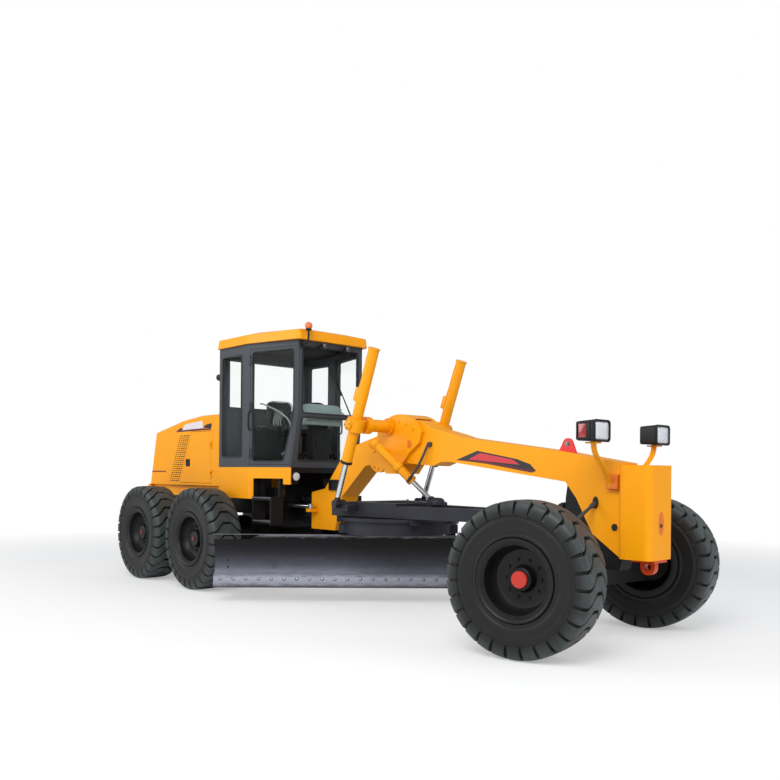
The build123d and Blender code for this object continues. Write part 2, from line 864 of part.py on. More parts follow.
# Moldboard: a rolled plate with a cutting edge, two slide rails and the rod's lug.
blade_top = blade_bottom + blade_height
lean = 20.0  # top edge ahead of the cutting edge
chord = hypot(lean, blade_height)
sag = blade_curve - sqrt(blade_curve**2 - (chord / 2) ** 2)
outer_curve = blade_curve + blade_plate
chord_out = Vector(-blade_height, lean) / chord  # towards the back of the plate
middle = Vector(lean / 2, blade_bottom + blade_height / 2)
centre = middle - chord_out * (blade_curve - sag)
low_point = Vector(0, blade_bottom)
top_point = Vector(lean, blade_top)
low_back = centre + (low_point - centre).normalized() * outer_curve
top_back = centre + (top_point - centre).normalized() * outer_curve
blade_middle = -blade_shift_now
end_drop = 50.0
end_drop_run = 560.0
edge_height = 150.0
edge_thickness = 30.0
edge_lean = 42.0  # the edge's front face runs back by this over its height
with BuildPart() as blade:
    with BuildSketch(across(blade_middle)):
        with BuildLine():
            ThreePointArc(
                (low_point.X, low_point.Y),
                tuple(centre + chord_out * blade_curve)[:2],
                (top_point.X, top_point.Y),
            )
            Line((top_point.X, top_point.Y), (top_back.X, top_back.Y))
            ThreePointArc(
                (top_back.X, top_back.Y),
                tuple(centre + chord_out * outer_curve)[:2],
                (low_back.X, low_back.Y),
            )
            Line((low_back.X, low_back.Y), (low_point.X, low_point.Y))
        make_face()
    extrude(amount=blade_length / 2, both=True)
    # cutting edge in front of the plate's foot
    add(
        prism(
            across(blade_middle),
            (
                (-edge_thickness, blade_bottom),
                (0, blade_bottom),
                (-edge_lean, blade_bottom + edge_height),
                (-edge_lean - edge_thickness, blade_bottom + edge_height),
            ),
            blade_length / 2,
        )
    )
    # the top edge steps down towards both ends
    for side in (1, -1):
        end = side * blade_length / 2 + blade_middle
        step = edge_line + blade_u * end
        with BuildSketch(Plane(origin=step + blade_n * 400, x_dir=blade_u, z_dir=blade_n)):
            with BuildLine():
                Polyline(
                    (side * 10, blade_top + 10),
                    (side * 10, blade_top - end_drop),
                    (-side * end_drop_run * 0.75, blade_top - end_drop),
                    (-side * end_drop_run, blade_top + 10),
                    close=True,
                )
            make_face()
        extrude(amount=-800, mode=Mode.SUBTRACT)
    for low, high in slide_rails:
        add(
            prism(
                across(blade_middle),
                ((slide_back, low), (slide_front, low), (slide_front, high), (slide_back, high)),
                1300,
            )
        )
    # lug at the side-shift rod's end
    add(
        prism(
            across(-1500),
            (
                (side_rod_ahead - 45, shift_barrel_height - 45),
                (-110, shift_barrel_height - 45),
                (-110, shift_barrel_height + 45),
                (side_rod_ahead - 45, shift_barrel_height + 45),
            ),
            25,
        )
    )
save(blade.part, "blade")
side_rod = bar(
    place.from_local_coords(Vector(side_rod_ahead, shift_barrel_height, 1475)),
    place.from_local_coords(Vector(side_rod_ahead, shift_barrel_height, 60)),
    side_rod_radius,
)
save(side_rod, "blade_shift_rod")


# ================================================================ cylinders
def barrel(start, end, radius, rod_radius, gland):
    """A cylinder tube closed at its start, with a narrow gland round the rod at its end."""
    line = (end - start).normalized()
    bore = radius - 10
    with BuildPart() as tube:
        add(bar(start, end, radius))
        add(bar(start + line * 15, end - line * gland, bore), mode=Mode.SUBTRACT)
        add(bar(end - line * (gland + 5), end, rod_radius + fit_gap), mode=Mode.SUBTRACT)
    return tube.part


def rod_with_eye(start, eye, radius, axis, eye_radius):
    """A rod that ends in a flat eye with its pin, the pin's axis being given."""
    line = (eye - start).normalized()
    with BuildPart() as rod:
        add(bar(start, eye - line * (eye_radius - 12), radius))
        half = axis * (radius + eye_lip)
        add(bar(eye - half, eye + half, eye_radius))
        add(bar(eye - half - axis * 3, eye + half + axis * 3, eye_radius * 0.55))
    return rod.part


gland_length = 40.0
for side, name in sides:
    pivot = Vector(trunnion_x, side * lift_pin_y, trunnion_height)
    eye = Vector(lift_pin_x, side * lift_pin_y, lift_pin_height)
    line = (eye - pivot).normalized()
    with BuildPart() as lift_barrel:
        add(
            barrel(
                pivot - line * lift_above,
                pivot + line * lift_below,
                lift_barrel_radius,
                lift_rod_radius,
                gland_length,
            )
        )
        # collar with the trunnion holes
        with BuildSketch(Plane(origin=pivot - line * 70, x_dir=(0, 1, 0), z_dir=line)):
            Circle(collar_half)
            Circle(lift_barrel_radius - 5, mode=Mode.SUBTRACT)
        extrude(amount=140)
        inner = pivot - Vector(0, side * (lift_barrel_radius - 2), 0)
        add(
            bar(inner, pivot - Vector(0, side * (collar_half + 5), 0), trunnion_radius + fit_gap),
            mode=Mode.SUBTRACT,
        )
        add(bar(inner + Vector(0, side * 6, 0), inner - Vector(0, side * 2, 0), trunnion_radius + 6))
    save(lift_barrel.part, f"lift_barrel_{name}")
    rod = rod_with_eye(pivot - line * 440, eye, lift_rod_radius, Vector(0, 1, 0), 48)
    save(rod, f"lift_rod_{name}")

shift_barrel = barrel(
    shift_pin - shift_line * shift_above,
    shift_pin + shift_line * shift_below,
    shift_barrel_radius,
    shift_rod_radius,
    gland_length,
)
save(shift_barrel, "shift_barrel")
rod_start = shift_pin + (shift_eye - shift_pin).normalized() * 13
shift_rod = rod_with_eye(rod_start, shift_eye, shift_rod_radius, shift_axis, 40)
save(shift_rod, "shift_rod")

for side, name in sides:
    pivot = Vector(hitch_x - steer_pin_behind, side * steer_pin_y, steer_cylinder_height)
    eye = Vector(hitch_x + steer_eye_ahead, side * steer_eye_y, steer_cylinder_height)
    line = (eye - pivot).normalized()
    with BuildPart() as steer_barrel:
        add(
            barrel(
                pivot + line * 30,
                pivot + line * steer_barrel_length,
                steer_barrel_radius,
                steer_rod_radius,
                gland_length,
            )
        )
        add(bar(pivot - Vector(0, 0, 28), pivot + Vector(0, 0, 28), 45))
        add(
            bar(pivot - Vector(0, 0, 30), pivot + Vector(0, 0, 30), steer_pin_radius + fit_gap),
            mode=Mode.SUBTRACT,
        )
    save(steer_barrel.part, f"articulation_barrel_{name}")
    rod = rod_with_eye(pivot + line * 260, eye, steer_rod_radius, Vector(0, 0, 1), 40)
    save(rod, f"articulation_rod_{name}")

# ================================================================ rear frame
tongue_gap = 15.0  # between the tongue and each hitch ear
tongue_half = 100.0
pin_plate = 32.0
pin_plate_gap = 8.0
block_top = 1060.0
block_bottom = 830.0
axle_bar_radius = 150.0
engine_front_x = tandem_x - 81
engine_rear_x = engine_front_x - 1200
engine_bottom = 1300.0
engine_half = 330.0
engine_drop = 345.0  # the engine's top below the hood's
steer_pin_x = hitch_x - steer_pin_behind
with BuildPart() as rear_frame:
    for side, _ in sides:
        add(
            block(
                (hitch_x - 140, tail_x + 60),
                (side * (frame_half_width - frame_rail), side * frame_half_width),
                (frame_bottom, frame_top),
            )
        )
        # plates above and below the articulation cylinder's rear eye
        reach = steer_barrel_radius + pin_plate_gap
        for low in (
            steer_cylinder_height - reach - pin_plate,
            steer_cylinder_height + reach,
        ):
            add(
                block(
                    (steer_pin_x - 60, steer_pin_x + 60),
                    (side * (steer_pin_y - 60), side * (frame_half_width - 10)),
                    (low, low + pin_plate),
                )
            )
        with BuildSketch(Plane.XY.offset(steer_cylinder_height - reach - pin_plate)):
            with Locations((steer_pin_x, side * steer_pin_y)):
                Circle(steer_pin_radius)
        extrude(amount=2 * (reach + pin_plate))
    # tongue between the hitch ears with the articulation pin
    with BuildSketch(Plane.XY.offset(hitch_low + ear_thickness + tongue_gap)):
        with Locations((hitch_x, 0)):
            Circle(tongue_half)
        with Locations((hitch_x - 130, 0)):
            Rectangle(260, 2 * tongue_half)
    extrude(amount=hitch_high - hitch_low - 2 * (ear_thickness + tongue_gap))
    with BuildSketch(Plane.XY.offset(hitch_low)):
        with Locations((hitch_x, 0)):
            Circle(hitch_pin_radius)
    extrude(amount=hitch_high - hitch_low + 12)
    add(
        block(
            (hitch_x - 820, hitch_x - 170),
            (-320, 320),
            (block_bottom, block_top),
        )
    )
    for front, rear in ((hitch_x - 740, hitch_x - 820), (hitch_x - 170, hitch_x - 230)):
        add(
            block(
                (front, rear),
                (-frame_half_width + 10, frame_half_width - 10),
                (frame_bottom, block_top),
            )
        )
    # cross members under the engine
    for x in (engine_front_x - 150, engine_rear_x + 100):
        add(
            block(
                (x - 50, x + 50),
                (-frame_half_width + 10, frame_half_width - 10),
                (engine_bottom - 100, engine_bottom),
            )
        )
    # tail bumper
    add(
        block(
            (tail_x, tail_x + 70),
            (-hood_width / 2, hood_width / 2),
            (frame_bottom - 50, frame_top),
        )
    )
    # drilled plate and tow pin at the tail
    with BuildSketch(Plane(origin=(tail_x, 0, 1230), x_dir=(0, 1, 0), z_dir=(-1, 0, 0))):
        with GridLocations(360, 120, 2, 2):
            Circle(11)
    extrude(amount=-70, mode=Mode.SUBTRACT)
    for low in (frame_bottom - 30, frame_bottom + 90):
        with BuildSketch(Plane.XY.offset(low)):
            with Locations((tail_x - 70, 0)):
                Circle(60)
            with Locations((tail_x - 30, 0)):
                Rectangle(80, 120)
            with Locations((tail_x - 70, 0)):
                Circle(20, mode=Mode.SUBTRACT)
        extrude(amount=30)
save(rear_frame.part, "rear_frame")

with BuildPart() as rear_axle:
    add(bar((tandem_x, -612, tyre_radius), (tandem_x, 612, tyre_radius), axle_bar_radius))
    with Locations((tandem_x, 0, tyre_radius)):
        Sphere(250)
    for side, _ in sides:
        add(
            block(
                (tandem_x - 160, tandem_x + 160),
                (side * (frame_half_width - frame_rail - 20), side * (frame_half_width + 20)),
                (tyre_radius + 40, frame_bottom),
            )
        )
save(rear_axle.part, "rear_axle")

tandem_inner = 612.0
tandem_outer = 800.0
tandem_half_height = 210.0
boss_end = half_track - 18
with BuildPart() as tandem_cases:
    for side, _ in sides:
        with BuildSketch(Plane.XZ.offset(-side * tandem_inner)):
            with Locations((tandem_x, tyre_radius)):
                SlotCenterToCenter(tandem_spacing, 2 * tandem_half_height)
        extrude(amount=-side * (tandem_outer - tandem_inner))
        for axle_x in (middle_axle_x, rear_axle_x):
            for start, end, radius in (
                (tandem_outer - 5, boss_end, 92),
                (boss_end - 5, half_track + rear_hub_out - hub_cap_wall - 2, spindle_radius),
            ):
                add(
                    bar(
                        (axle_x, side * start, tyre_radius),
                        (axle_x, side * end, tyre_radius),
                        radius,
                    )
                )
save(tandem_cases.part, "tandem_cases")

save(
    block(
        (engine_front_x, engine_rear_x),
        (-engine_half, engine_half),
        (engine_bottom, hood_height - engine_drop),
    ),
    "engine_block",
)

# ================================================================ hood
hood_front_x = cab_rear_x - 40
hood_half = hood_width / 2
hood_low = frame_top
hood_length = 2489.0  # along its foot
hood_floor = 30.0
hood_top_line = (  # share of the length behind the front, height from the hood's own
    (0.0, 5.0),
    (0.343, 0.0),
    (0.579, -55.0),
    (0.921, -207.0),
)
hood_tail_x = hood_front_x - hood_length
hood_line = (
    (hood_front_x, hood_low),
    *((hood_front_x - share * hood_length, hood_height + rise) for share, rise in hood_top_line),
    (hood_tail_x, hood_low),
)
hood_inside_line = (
    (hood_front_x - hood_wall, hood_low + hood_floor),
    (hood_front_x - hood_wall, hood_line[1][1] - hood_wall),
    (hood_line[2][0], hood_line[2][1] - hood_wall),
    (hood_line[3][0], hood_line[3][1] - hood_wall),
    (hood_line[4][0] + 0.8 * hood_wall, hood_line[4][1] - hood_wall),
    (hood_tail_x + 1.1 * hood_wall, hood_low + hood_floor),
)
vent_top = hood_height - 250
vent_low = hood_low + 5
vent_rows = 12
vent_first = vent_low + 55
vent_step = (vent_top - 38 - vent_first) / (vent_rows - 1)
vent_column = 64.0
engine_door_front_x = hood_front_x - 0.219 * hood_length
engine_door_top = vent_top + 20
engine_door_low = hood_low + hood_floor
engine_door_slope = 359 / 785  # rearward run of the vent strip for each unit down
engine_door_rear_x = hood_front_x - 0.456 * hood_length  # at the height vent_top
engine_door_thickness = 35.0
engine_hinge_heights = tuple(
    engine_door_low + share * (engine_door_top - engine_door_low) for share in (0.19, 0.73)
)
engine_hinge_x = engine_door_front_x - 3


def vent_x(height, behind=0.0):
    """X of the slanted line in front of the vents at a height."""
    return engine_door_rear_x - (vent_top - height) * engine_door_slope - behind


def engine_door_outline(gap):
    """Outline of a side door, kept a gap inside its opening."""
    return (
        (engine_door_front_x - gap, engine_door_low + gap),
        (engine_door_front_x - gap, engine_door_top - gap),
        (vent_x(engine_door_top) + gap, engine_door_top - gap),
        (vent_x(engine_door_low) + gap, engine_door_low + gap),
    )


rear_top = Vector(hood_line[4][0], 0, hood_line[4][1])
rear_low = Vector(hood_line[5][0], 0, hood_line[5][1])
grille_half = hood_half - 160
grille_start = 130.0  # down the rear wall from its top edge
grille_end = (rear_low - rear_top).length - 146
grille_frame = 35.0
grille_bars = 14
grille_bar = 16.0
rear_out = Vector(0, 1, 0).cross(rear_low - rear_top).normalized()
rear_wall = Plane(origin=rear_top, x_dir=(0, 1, 0), z_dir=rear_out)
hinge_stand = 14.0  # hinge lines stand this far out from the wall they hang on
hinge_knuckle_radius = 11.0
hinge_pin_radius = 5.0
hinge_leaf = 40.0


def hood_side(side):
    """The plane down the middle of a side wall of the hood."""
    return side_plane(0, side * (hood_half - hood_wall / 2))


def hood_hinge(side, low, high, radius=hinge_knuckle_radius):
    """A round stretch of the side door's hinge line."""
    y = side * (hood_half + hinge_stand)
    return bar((engine_hinge_x, y, low), (engine_hinge_x, y, high), radius)


def hood_leaf(side, start, end, low, high):
    """The flat leaf that ties a knuckle to the wall or to the door."""
    return block((start, end), (side * (hood_half - 5), side * (hood_half + hinge_stand)), (low, high))


with BuildPart() as hood:
    add(prism(side_plane(0), hood_line, hood_half))
    outer_edges = hood.edges().filter_by(
        lambda e: e.center().Z > hood_low + 60
        and abs(e.center().Y) > hood_half - 1
        and e.center().X < hood_front_x - 10
    )
    fillet(outer_edges, 45)
    add(prism(side_plane(0), hood_inside_line, hood_half - hood_wall), mode=Mode.SUBTRACT)
    foot = block(
        (hood_front_x - hood_wall, hood_tail_x + 2 * hood_wall),
        (-hood_half + 140, hood_half - 140),
        (hood_low - 5, hood_low + hood_floor + 10),
    )
    add(foot, mode=Mode.SUBTRACT)
    for side, _ in sides:
        add(prism(hood_side(side), engine_door_outline(0), hood_wall), mode=Mode.SUBTRACT)
        # vent slots in a slanted strip behind the door
        with BuildSketch(hood_side(side)):
            for row in range(vent_rows):
                height = vent_first + row * vent_step
                for column in range(3):
                    with Locations((vent_x(height, (column + 0.97) * vent_column), height)):
                        SlotCenterToCenter(30, 18)
        extrude(amount=hood_wall, both=True, mode=Mode.SUBTRACT)
    # opening for the rear grille
    with BuildSketch(rear_wall):
        with Locations((0, (grille_start + grille_end) / 2)):
            Rectangle(2 * grille_half, grille_end - grille_start)
    extrude(amount=2 * hood_wall, both=True, mode=Mode.SUBTRACT)
    # fixed knuckles and pins of the side doors' hinges
    for side, _ in sides:
        for height in engine_hinge_heights:
            for low, high in ((height - 50, height - 20.3), (height + 20.3, height + 50)):
                add(hood_hinge(side, low, high))
                add(hood_leaf(side, engine_hinge_x, engine_hinge_x + hinge_leaf, low, high))
            add(hood_hinge(side, height - 45, height + 45, hinge_pin_radius))
save(hood.part, "hood")
for side, name in sides:
    with BuildPart() as engine_door:
        outline = engine_door_outline(move_gap)
        add(prism(side_plane(0, side * hood_half), outline, side * engine_door_thickness, both=False))
        for height in engine_hinge_heights:
            low, high = height - 20, height + 20
            add(hood_hinge(side, low, high))
            add(hood_leaf(side, engine_hinge_x - 1, engine_hinge_x - hinge_leaf, low, high))
            pin_hole = hood_hinge(side, low - 1, high + 1, hinge_pin_radius + fit_gap)
            add(pin_hole, mode=Mode.SUBTRACT)
    save(engine_door.part, f"engine_door_{name}")

# Rear grille: a frame with upright bars, fitted in its opening.
grille_length = grille_end - grille_start
with BuildPart() as grille:
    with BuildSketch(rear_wall.offset(-grille_frame)):
        with Locations((0, (grille_start + grille_end) / 2)):
            Rectangle(2 * grille_half, grille_length)
            Rectangle(
                2 * (grille_half - grille_frame),
                grille_length - 2 * grille_frame,
                mode=Mode.SUBTRACT,
            )
            spacing = 2 * (grille_half - grille_frame) / (grille_bars + 1)
            with GridLocations(spacing, 1, grille_bars, 1):
                Rectangle(grille_bar, grille_length - 2 * grille_frame + 2)
    extrude(amount=grille_frame)
save(grille.part, "rear_grille")

# ================================================================ cab base, steps
cab_half = cab_width / 2
cab_front_half = cab_front_width / 2
base_top = cab_floor - 10
base_inner = 430.0
recess_front_x = hitch_x + 191
recess_top = 1486.0
base_front_low = 1412.0
deck_low = 1560.0
post_half = cab_half - 3
slope_top = 2300.0
slope_back = 104.0  # how far the cab's front foot stands behind its face
base_front_x = cab_front_x - slope_back
with BuildPart() as cab_base:
    with BuildSketch(Plane.XY.offset(base_bottom)):
        with BuildLine():
            Polyline(
                (cab_rear_x, cab_half),
                (cab_post_x, post_half),
                (cab_front_x, cab_front_half),
                (cab_front_x, -cab_front_half),
                (cab_post_x, -post_half),
                (cab_rear_x, -cab_half),
                close=True,
            )
        make_face()
    extrude(amount=base_top - base_bottom)
    for inner, high in ((base_inner, deck_low), (frame_half_width, frame_top)):
        add(
            block((cab_rear_x - 5, cab_front_x + 5), (-inner, inner), (base_bottom - 5, high)),
            mode=Mode.SUBTRACT,
        )
    # recess for the steps, and the foot of the front end
    add(
        block(
            (cab_post_x + 82, recess_front_x),
            (-cab_half, cab_half),
            (base_bottom - 5, recess_top),
        ),
        mode=Mode.SUBTRACT,
    )
    add(
        block(
            (recess_front_x - 5, cab_front_x + 5),
            (-cab_half, cab_half),
            (base_bottom - 5, base_front_low),
        ),
        mode=Mode.SUBTRACT,
    )
    add(
        block((base_front_x, cab_front_x + 5), (-cab_half, cab_half), (base_bottom, base_top + 5)),
        mode=Mode.SUBTRACT,
    )
save(cab_base.part, "cab_base")

step_top = recess_top
step_out = 745.0
step_in = 560.0
with BuildPart() as steps:
    for side, _ in sides:
        for x in (cab_post_x + 100, recess_front_x - 60):
            add(block((x, x + 30), (side * step_in, side * (step_in + 60)), (890, step_top)))
            add(
                prism(
                    side_plane(0, side * (step_in + step_out) / 2),
                    ((x, 890), (x + 30, 890), (x + 30, 1250), (x, 1250)),
                    (step_out - step_in) / 2,
                )
            )
        for low in (905, 1205):
            add(
                block(
                    (cab_post_x + 100, recess_front_x - 30),
                    (side * step_in, side * step_out),
                    (low, low + 30),
                )
            )
save(steps.part, "steps")

# ================================================================ cab
slope = slope_back / (slope_top - cab_floor)
side_length = hypot(cab_front_x - cab_post_x, post_half - cab_front_half)
door_edge = 24.0  # door opening from the corners of the slanted wall


window_cut = 70.0


def door_plane(side):
    """A slanted side wall's outer face: sketch x runs forward from the door post."""
    run = Vector(cab_front_x - cab_post_x, side * (cab_front_half - post_half), 0).normalized()
    return Plane(
        origin=(cab_post_x, side * post_half, 0),
        x_dir=run,
        z_dir=run.cross(Vector(0, 0, 1)),
    )


def door_outline(inset, gap=0.0):
    """Outline of a door or its window, in along the wall and height."""
    rear = door_edge + inset + gap
    front = side_length - door_edge - inset - gap
    low = door_bottom + inset + gap
    high = door_top - inset - gap
    cut = (slope_top - low) * slope * side_length / (cab_front_x - cab_post_x)
    if inset:
        cut += window_cut  # a window's lower front corner runs further back
    return ((rear, low), (front - cut, low), (front, slope_top), (front, high), (rear, high))


def cab_prism(inset, low, high):
    """The cab's plan drawn in by an inset, its foot sloping back at the front."""
    run = Vector(cab_front_x - cab_post_x, cab_front_half - post_half, 0).normalized()
    turn_in = inset * (1 - run.X) / -run.Y
    rear_corner = (cab_rear_x + inset, cab_half - inset)
    post = (cab_post_x - turn_in * 0.5, post_half - inset)
    front_half = cab_front_half - inset * (1 + run.Y) / run.X
    with BuildPart() as piece:
        with BuildSketch(Plane.XY.offset(low)):
            with BuildLine():
                Polyline(
                    rear_corner,
                    post,
                    (cab_front_x - inset, front_half),
                    (cab_front_x - inset, -front_half),
                    (post[0], -post[1]),
                    (rear_corner[0], -rear_corner[1]),
                    close=True,
                )
            make_face()
        extrude(amount=high - low)
        add(
            prism(
                side_plane(cab_front_x - inset),
                (
                    (0, slope_top),
                    (-slope_back - 20 * slope, cab_floor - 20),
                    (300, cab_floor - 20),
                    (300, slope_top),
                ),
                cab_width,
            ),
            mode=Mode.SUBTRACT,
        )
    return piece.part


side_window = (cab_rear_x + 80, cab_post_x - 172)
rear_window_low = hood_height + 65
front_half_window = cab_front_half - 70
front_low = 1720.0
bar_half = 25.0  # half of the bar between the two front panes


def window_boxes(gap, thin):
    """Boxes through the upright windows, or the panes that fit them with a gap."""
    half = glass_thickness / 2 if thin else 150.0
    boxes = []
    for side, _ in sides:
        y = side * (cab_half - cab_wall / 2)
        boxes.append(
            block(
                (side_window[0] + gap, side_window[1] - gap),
                (y - half, y + half),
                (cab_sill + gap, cab_head - gap),
            )
        )
    x = cab_rear_x + cab_wall / 2
    boxes.append(
        block(
            (x - half, x + half),
            (-cab_half + 130 + gap, cab_half - 130 - gap),
            (rear_window_low + gap, cab_head - gap),
        )
    )
    x = cab_front_x - cab_wall / 2
    boxes.append(
        block(
            (x - half, x + half),
            (-front_half_window + gap, front_half_window - gap),
            (slope_top + bar_half + gap, door_top - gap),
        )
    )
    return boxes


def lower_pane(gap, half):
    """The front's lower window, in the sloping foot of the face."""
    down = Vector(-slope, 0, -1).normalized()
    plane = Plane(
        origin=(cab_front_x - cab_wall / 2, 0, slope_top), x_dir=down, z_dir=(down.Z, 0, -down.X)
    )
    length = (slope_top - front_low) / -down.Z
    with BuildPart() as piece:
        with BuildSketch(plane):
            with Locations(((bar_half + length) / 2, 0)):
                Rectangle(length - bar_half - 2 * gap, 2 * (front_half_window - gap))
        extrude(amount=half, both=True)
    return piece.part


hinge_along = door_edge + move_gap / 2
hinge_heights = (door_bottom + 150, (door_bottom + door_top) / 2, door_top - 150)
hinge_knuckle = 20.0  # half of the moving knuckle's height
hinge_end = 60.0  # half of a whole hinge


def door_hinge(side, low, high, radius=hinge_knuckle_radius):
    """A round stretch of a cab door's hinge line."""
    plane = door_plane(side)
    ends = [Vector(hinge_along, height, -side * hinge_stand) for height in (low, high)]
    return bar(*(plane.from_local_coords(end) for end in ends), radius)


def door_leaf(side, start, end, low, high):
    """The flat leaf that ties a knuckle to the post or to the door."""
    outline = ((start, low), (end, low), (end, high), (start, high))
    return prism(door_plane(side), outline, -side * hinge_stand, both=False)


with BuildPart() as cab_frame:
    add(cab_prism(0, base_top, cab_ceiling))
    add(cab_prism(cab_wall, cab_floor + 20, cab_ceiling + 50), mode=Mode.SUBTRACT)
    for window in window_boxes(0, False):
        add(window, mode=Mode.SUBTRACT)
    add(lower_pane(0, 100), mode=Mode.SUBTRACT)
    for side, _ in sides:
        add(prism(door_plane(side), door_outline(0), 150), mode=Mode.SUBTRACT)
        for height in hinge_heights:
            for low, high in (
                (height - hinge_end, height - hinge_knuckle - fit_gap),
                (height + hinge_knuckle + fit_gap, height + hinge_end),
            ):
                add(door_hinge(side, low, high))
                add(door_leaf(side, 5, hinge_along, low, high))
            add(door_hinge(side, height - hinge_end + 5, height + hinge_end - 5, hinge_pin_radius))
save(cab_frame.part, "cab_frame")

with BuildPart() as cab_glass:
    for pane in window_boxes(fit_gap, True):
        add(pane)
    add(lower_pane(fit_gap, glass_thickness / 2))
save(cab_glass.part, "cab_glass")

door_frame_width = 42.0
for side, name in sides:
    plane = door_plane(side)
    with BuildPart() as door:
        add(prism(plane, door_outline(0, move_gap), side * door_thickness, both=False))
        add(prism(plane, door_outline(door_frame_width), 100), mode=Mode.SUBTRACT)
        for height in hinge_heights:
            low, high = height - hinge_knuckle, height + hinge_knuckle
            add(door_hinge(side, low, high))
            add(door_leaf(side, hinge_along + 4, hinge_along + 34, low, high))
            pin_hole = door_hinge(side, low - 5, high + 5, hinge_pin_radius + fit_gap)
            add(pin_hole, mode=Mode.SUBTRACT)
    save(door.part, f"door_{name}")
    glass_plane = plane.offset(side * door_thickness / 2)
    pane = prism(glass_plane, door_outline(door_frame_width, fit_gap), glass_thickness / 2)
    save(pane, f"door_glass_{name}")

# Roof: a crowned plate that overhangs the cab.
roof_out = 45.0
with BuildPart() as cab_roof:
    for height, inset in (
        (cab_ceiling, 0),
        (cab_ceiling + 0.7 * roof_thickness, 12),
        (roof_height, 190),
    ):
        with BuildSketch(Plane.XY.offset(height)) as section:
            with BuildLine():
                Polyline(
                    (cab_rear_x - roof_out + inset, cab_half + 30 - inset),
                    (cab_post_x, cab_half + 30 - inset),
                    (cab_front_x + roof_out + 25 - inset, cab_front_half + 45 - inset),
                    (cab_front_x + roof_out + 25 - inset, -cab_front_half - 45 + inset),
                    (cab_post_x, -cab_half - 30 + inset),
                    (cab_rear_x - roof_out + inset, -cab_half - 30 + inset),
                    close=True,
                )
            make_face()
            fillet(section.vertices(), 60)
    loft(ruled=True)
save(cab_roof.part, "cab_roof")

# ================================================================ inside the cab
inside_floor = cab_floor + 20
seat_x = cab_post_x - 120
seat_height = inside_floor + 400  # underside of the cushion
cushion_thickness = 130.0
cushion_half = 255.0
back_half = 245.0
back_height = 520.0
with BuildPart() as seat_base:
    add(block((seat_x - 170, seat_x + 170), (-180, 180), (inside_floor, seat_height)))
save(seat_base.part, "seat_base")
with BuildPart() as seat:
    cushion_rise = (seat_height, seat_height + cushion_thickness)
    back_rise = (seat_height + 5, seat_height + 5 + back_height)
    back_run = (seat_x - 200 - cushion_thickness, seat_x - 200 - fit_gap)
    add(rounded_block((seat_x - 200, seat_x + 270), (-cushion_half, cushion_half), cushion_rise, 40))
    add(rounded_block(back_run, (-back_half, back_half), back_rise, 40))
save(seat.part, "seat")

column_x = cab_front_x - 330
with BuildPart() as cab_controls:
    # steering pedestal, column and wheel
    pedestal_top = inside_floor + 500
    add(block((column_x - 70, column_x + 130), (-140, 140), (inside_floor, pedestal_top)))
    wheel_middle = Vector(column_x - 130, 0, pedestal_top + 260)
    column_foot = Vector(column_x - 10, 0, pedestal_top - 40)
    add(bar(column_foot, wheel_middle, 28))
    column = (wheel_middle - column_foot).normalized()
    with BuildSketch(Plane(origin=wheel_middle, z_dir=column)):
        Circle(205)
        Circle(178, mode=Mode.SUBTRACT)
        Rectangle(28, 380)
        Rectangle(380, 28)
    extrude(amount=13, both=True)
    # side consoles
    for side, _ in sides:
        add(
            block(
                (seat_x - 200, seat_x + 330),
                (side * 330, side * 470),
                (inside_floor, cushion_rise[1]),
            )
        )
save(cab_controls.part, "cab_controls")

# ================================================================ lamps and small pieces
beacon_y = -cab_front_half + 25
with BuildPart() as beacon:
    foot_x = cab_front_x + 20
    stalk_x = foot_x + 85
    foot_rise = (cab_ceiling - 112, cab_ceiling - 5)
    arm_rise = (cab_ceiling - 45, cab_ceiling - 15)
    add(block((cab_front_x, foot_x + 18), (beacon_y - 18, beacon_y + 18), foot_rise))
    add(bar((stalk_x, beacon_y, cab_ceiling - 30), (stalk_x, beacon_y, roof_height + 10), 14))
    add(block((foot_x, stalk_x + 14), (beacon_y - 14, beacon_y + 14), arm_rise))
    with Locations((stalk_x, beacon_y, roof_height + 45)):
        Sphere(48)
save(beacon.part, "beacon")

cab_lamp_places = (  # x of the wall, y, height, outward x
    (cab_front_x, -190, cab_ceiling - 60, 1),
    (cab_front_x, 190, cab_ceiling - 60, 1),
    (cab_rear_x, -cab_half + 60, cab_ceiling - 372, -1),
    (cab_rear_x, cab_half - 60, cab_ceiling - 372, -1),
)
with BuildPart() as cab_lamps:
    for x, y, height, out in cab_lamp_places:
        add(bar((x, y, height), (x + out * 70, y, height), 14))
        add(bar((x + out * 40, y, height), (x + out * 120, y, height), 46))
    # round lamps low on the cab's front foot
    for side, _ in sides:
        y = side * (cab_front_half - 24)
        add(bar((base_front_x, y, 1514), (base_front_x + 55, y, 1514), 47))
save(cab_lamps.part, "cab_lamps")

pod_x = front_axle_x + 338
pod_y = 510.0
pod_z = 1950.0
pod_half = (98.0, 125.0, 98.0)  # along, across, up
with BuildPart() as head_lamps:
    for side, _ in sides:
        root = Vector(front_axle_x + 280, side * (girder_width / 2 + 14), 1560)
        add(
            block(
                (root.X - 45, root.X + 45),
                (side * girder_width / 2, side * (girder_width / 2 + 20)),
                (root.Z - 45, root.Z + 45),
            )
        )
        elbow = Vector(front_axle_x + 330, side * 330, 1640)
        top = Vector(pod_x, side * pod_y, pod_z - pod_half[2])
        add(bar(root, elbow, 17))
        with Locations(tuple(elbow)):
            Sphere(17)
        add(bar(elbow, top + Vector(0, 0, 5), 17))
        add(
            rounded_block(
                (pod_x - pod_half[0], pod_x + pod_half[0]),
                (side * (pod_y - pod_half[1]), side * (pod_y + pod_half[1])),
                (pod_z - pod_half[2], pod_z + pod_half[2]),
                18,
            )
        )
save(head_lamps.part, "head_lamps")

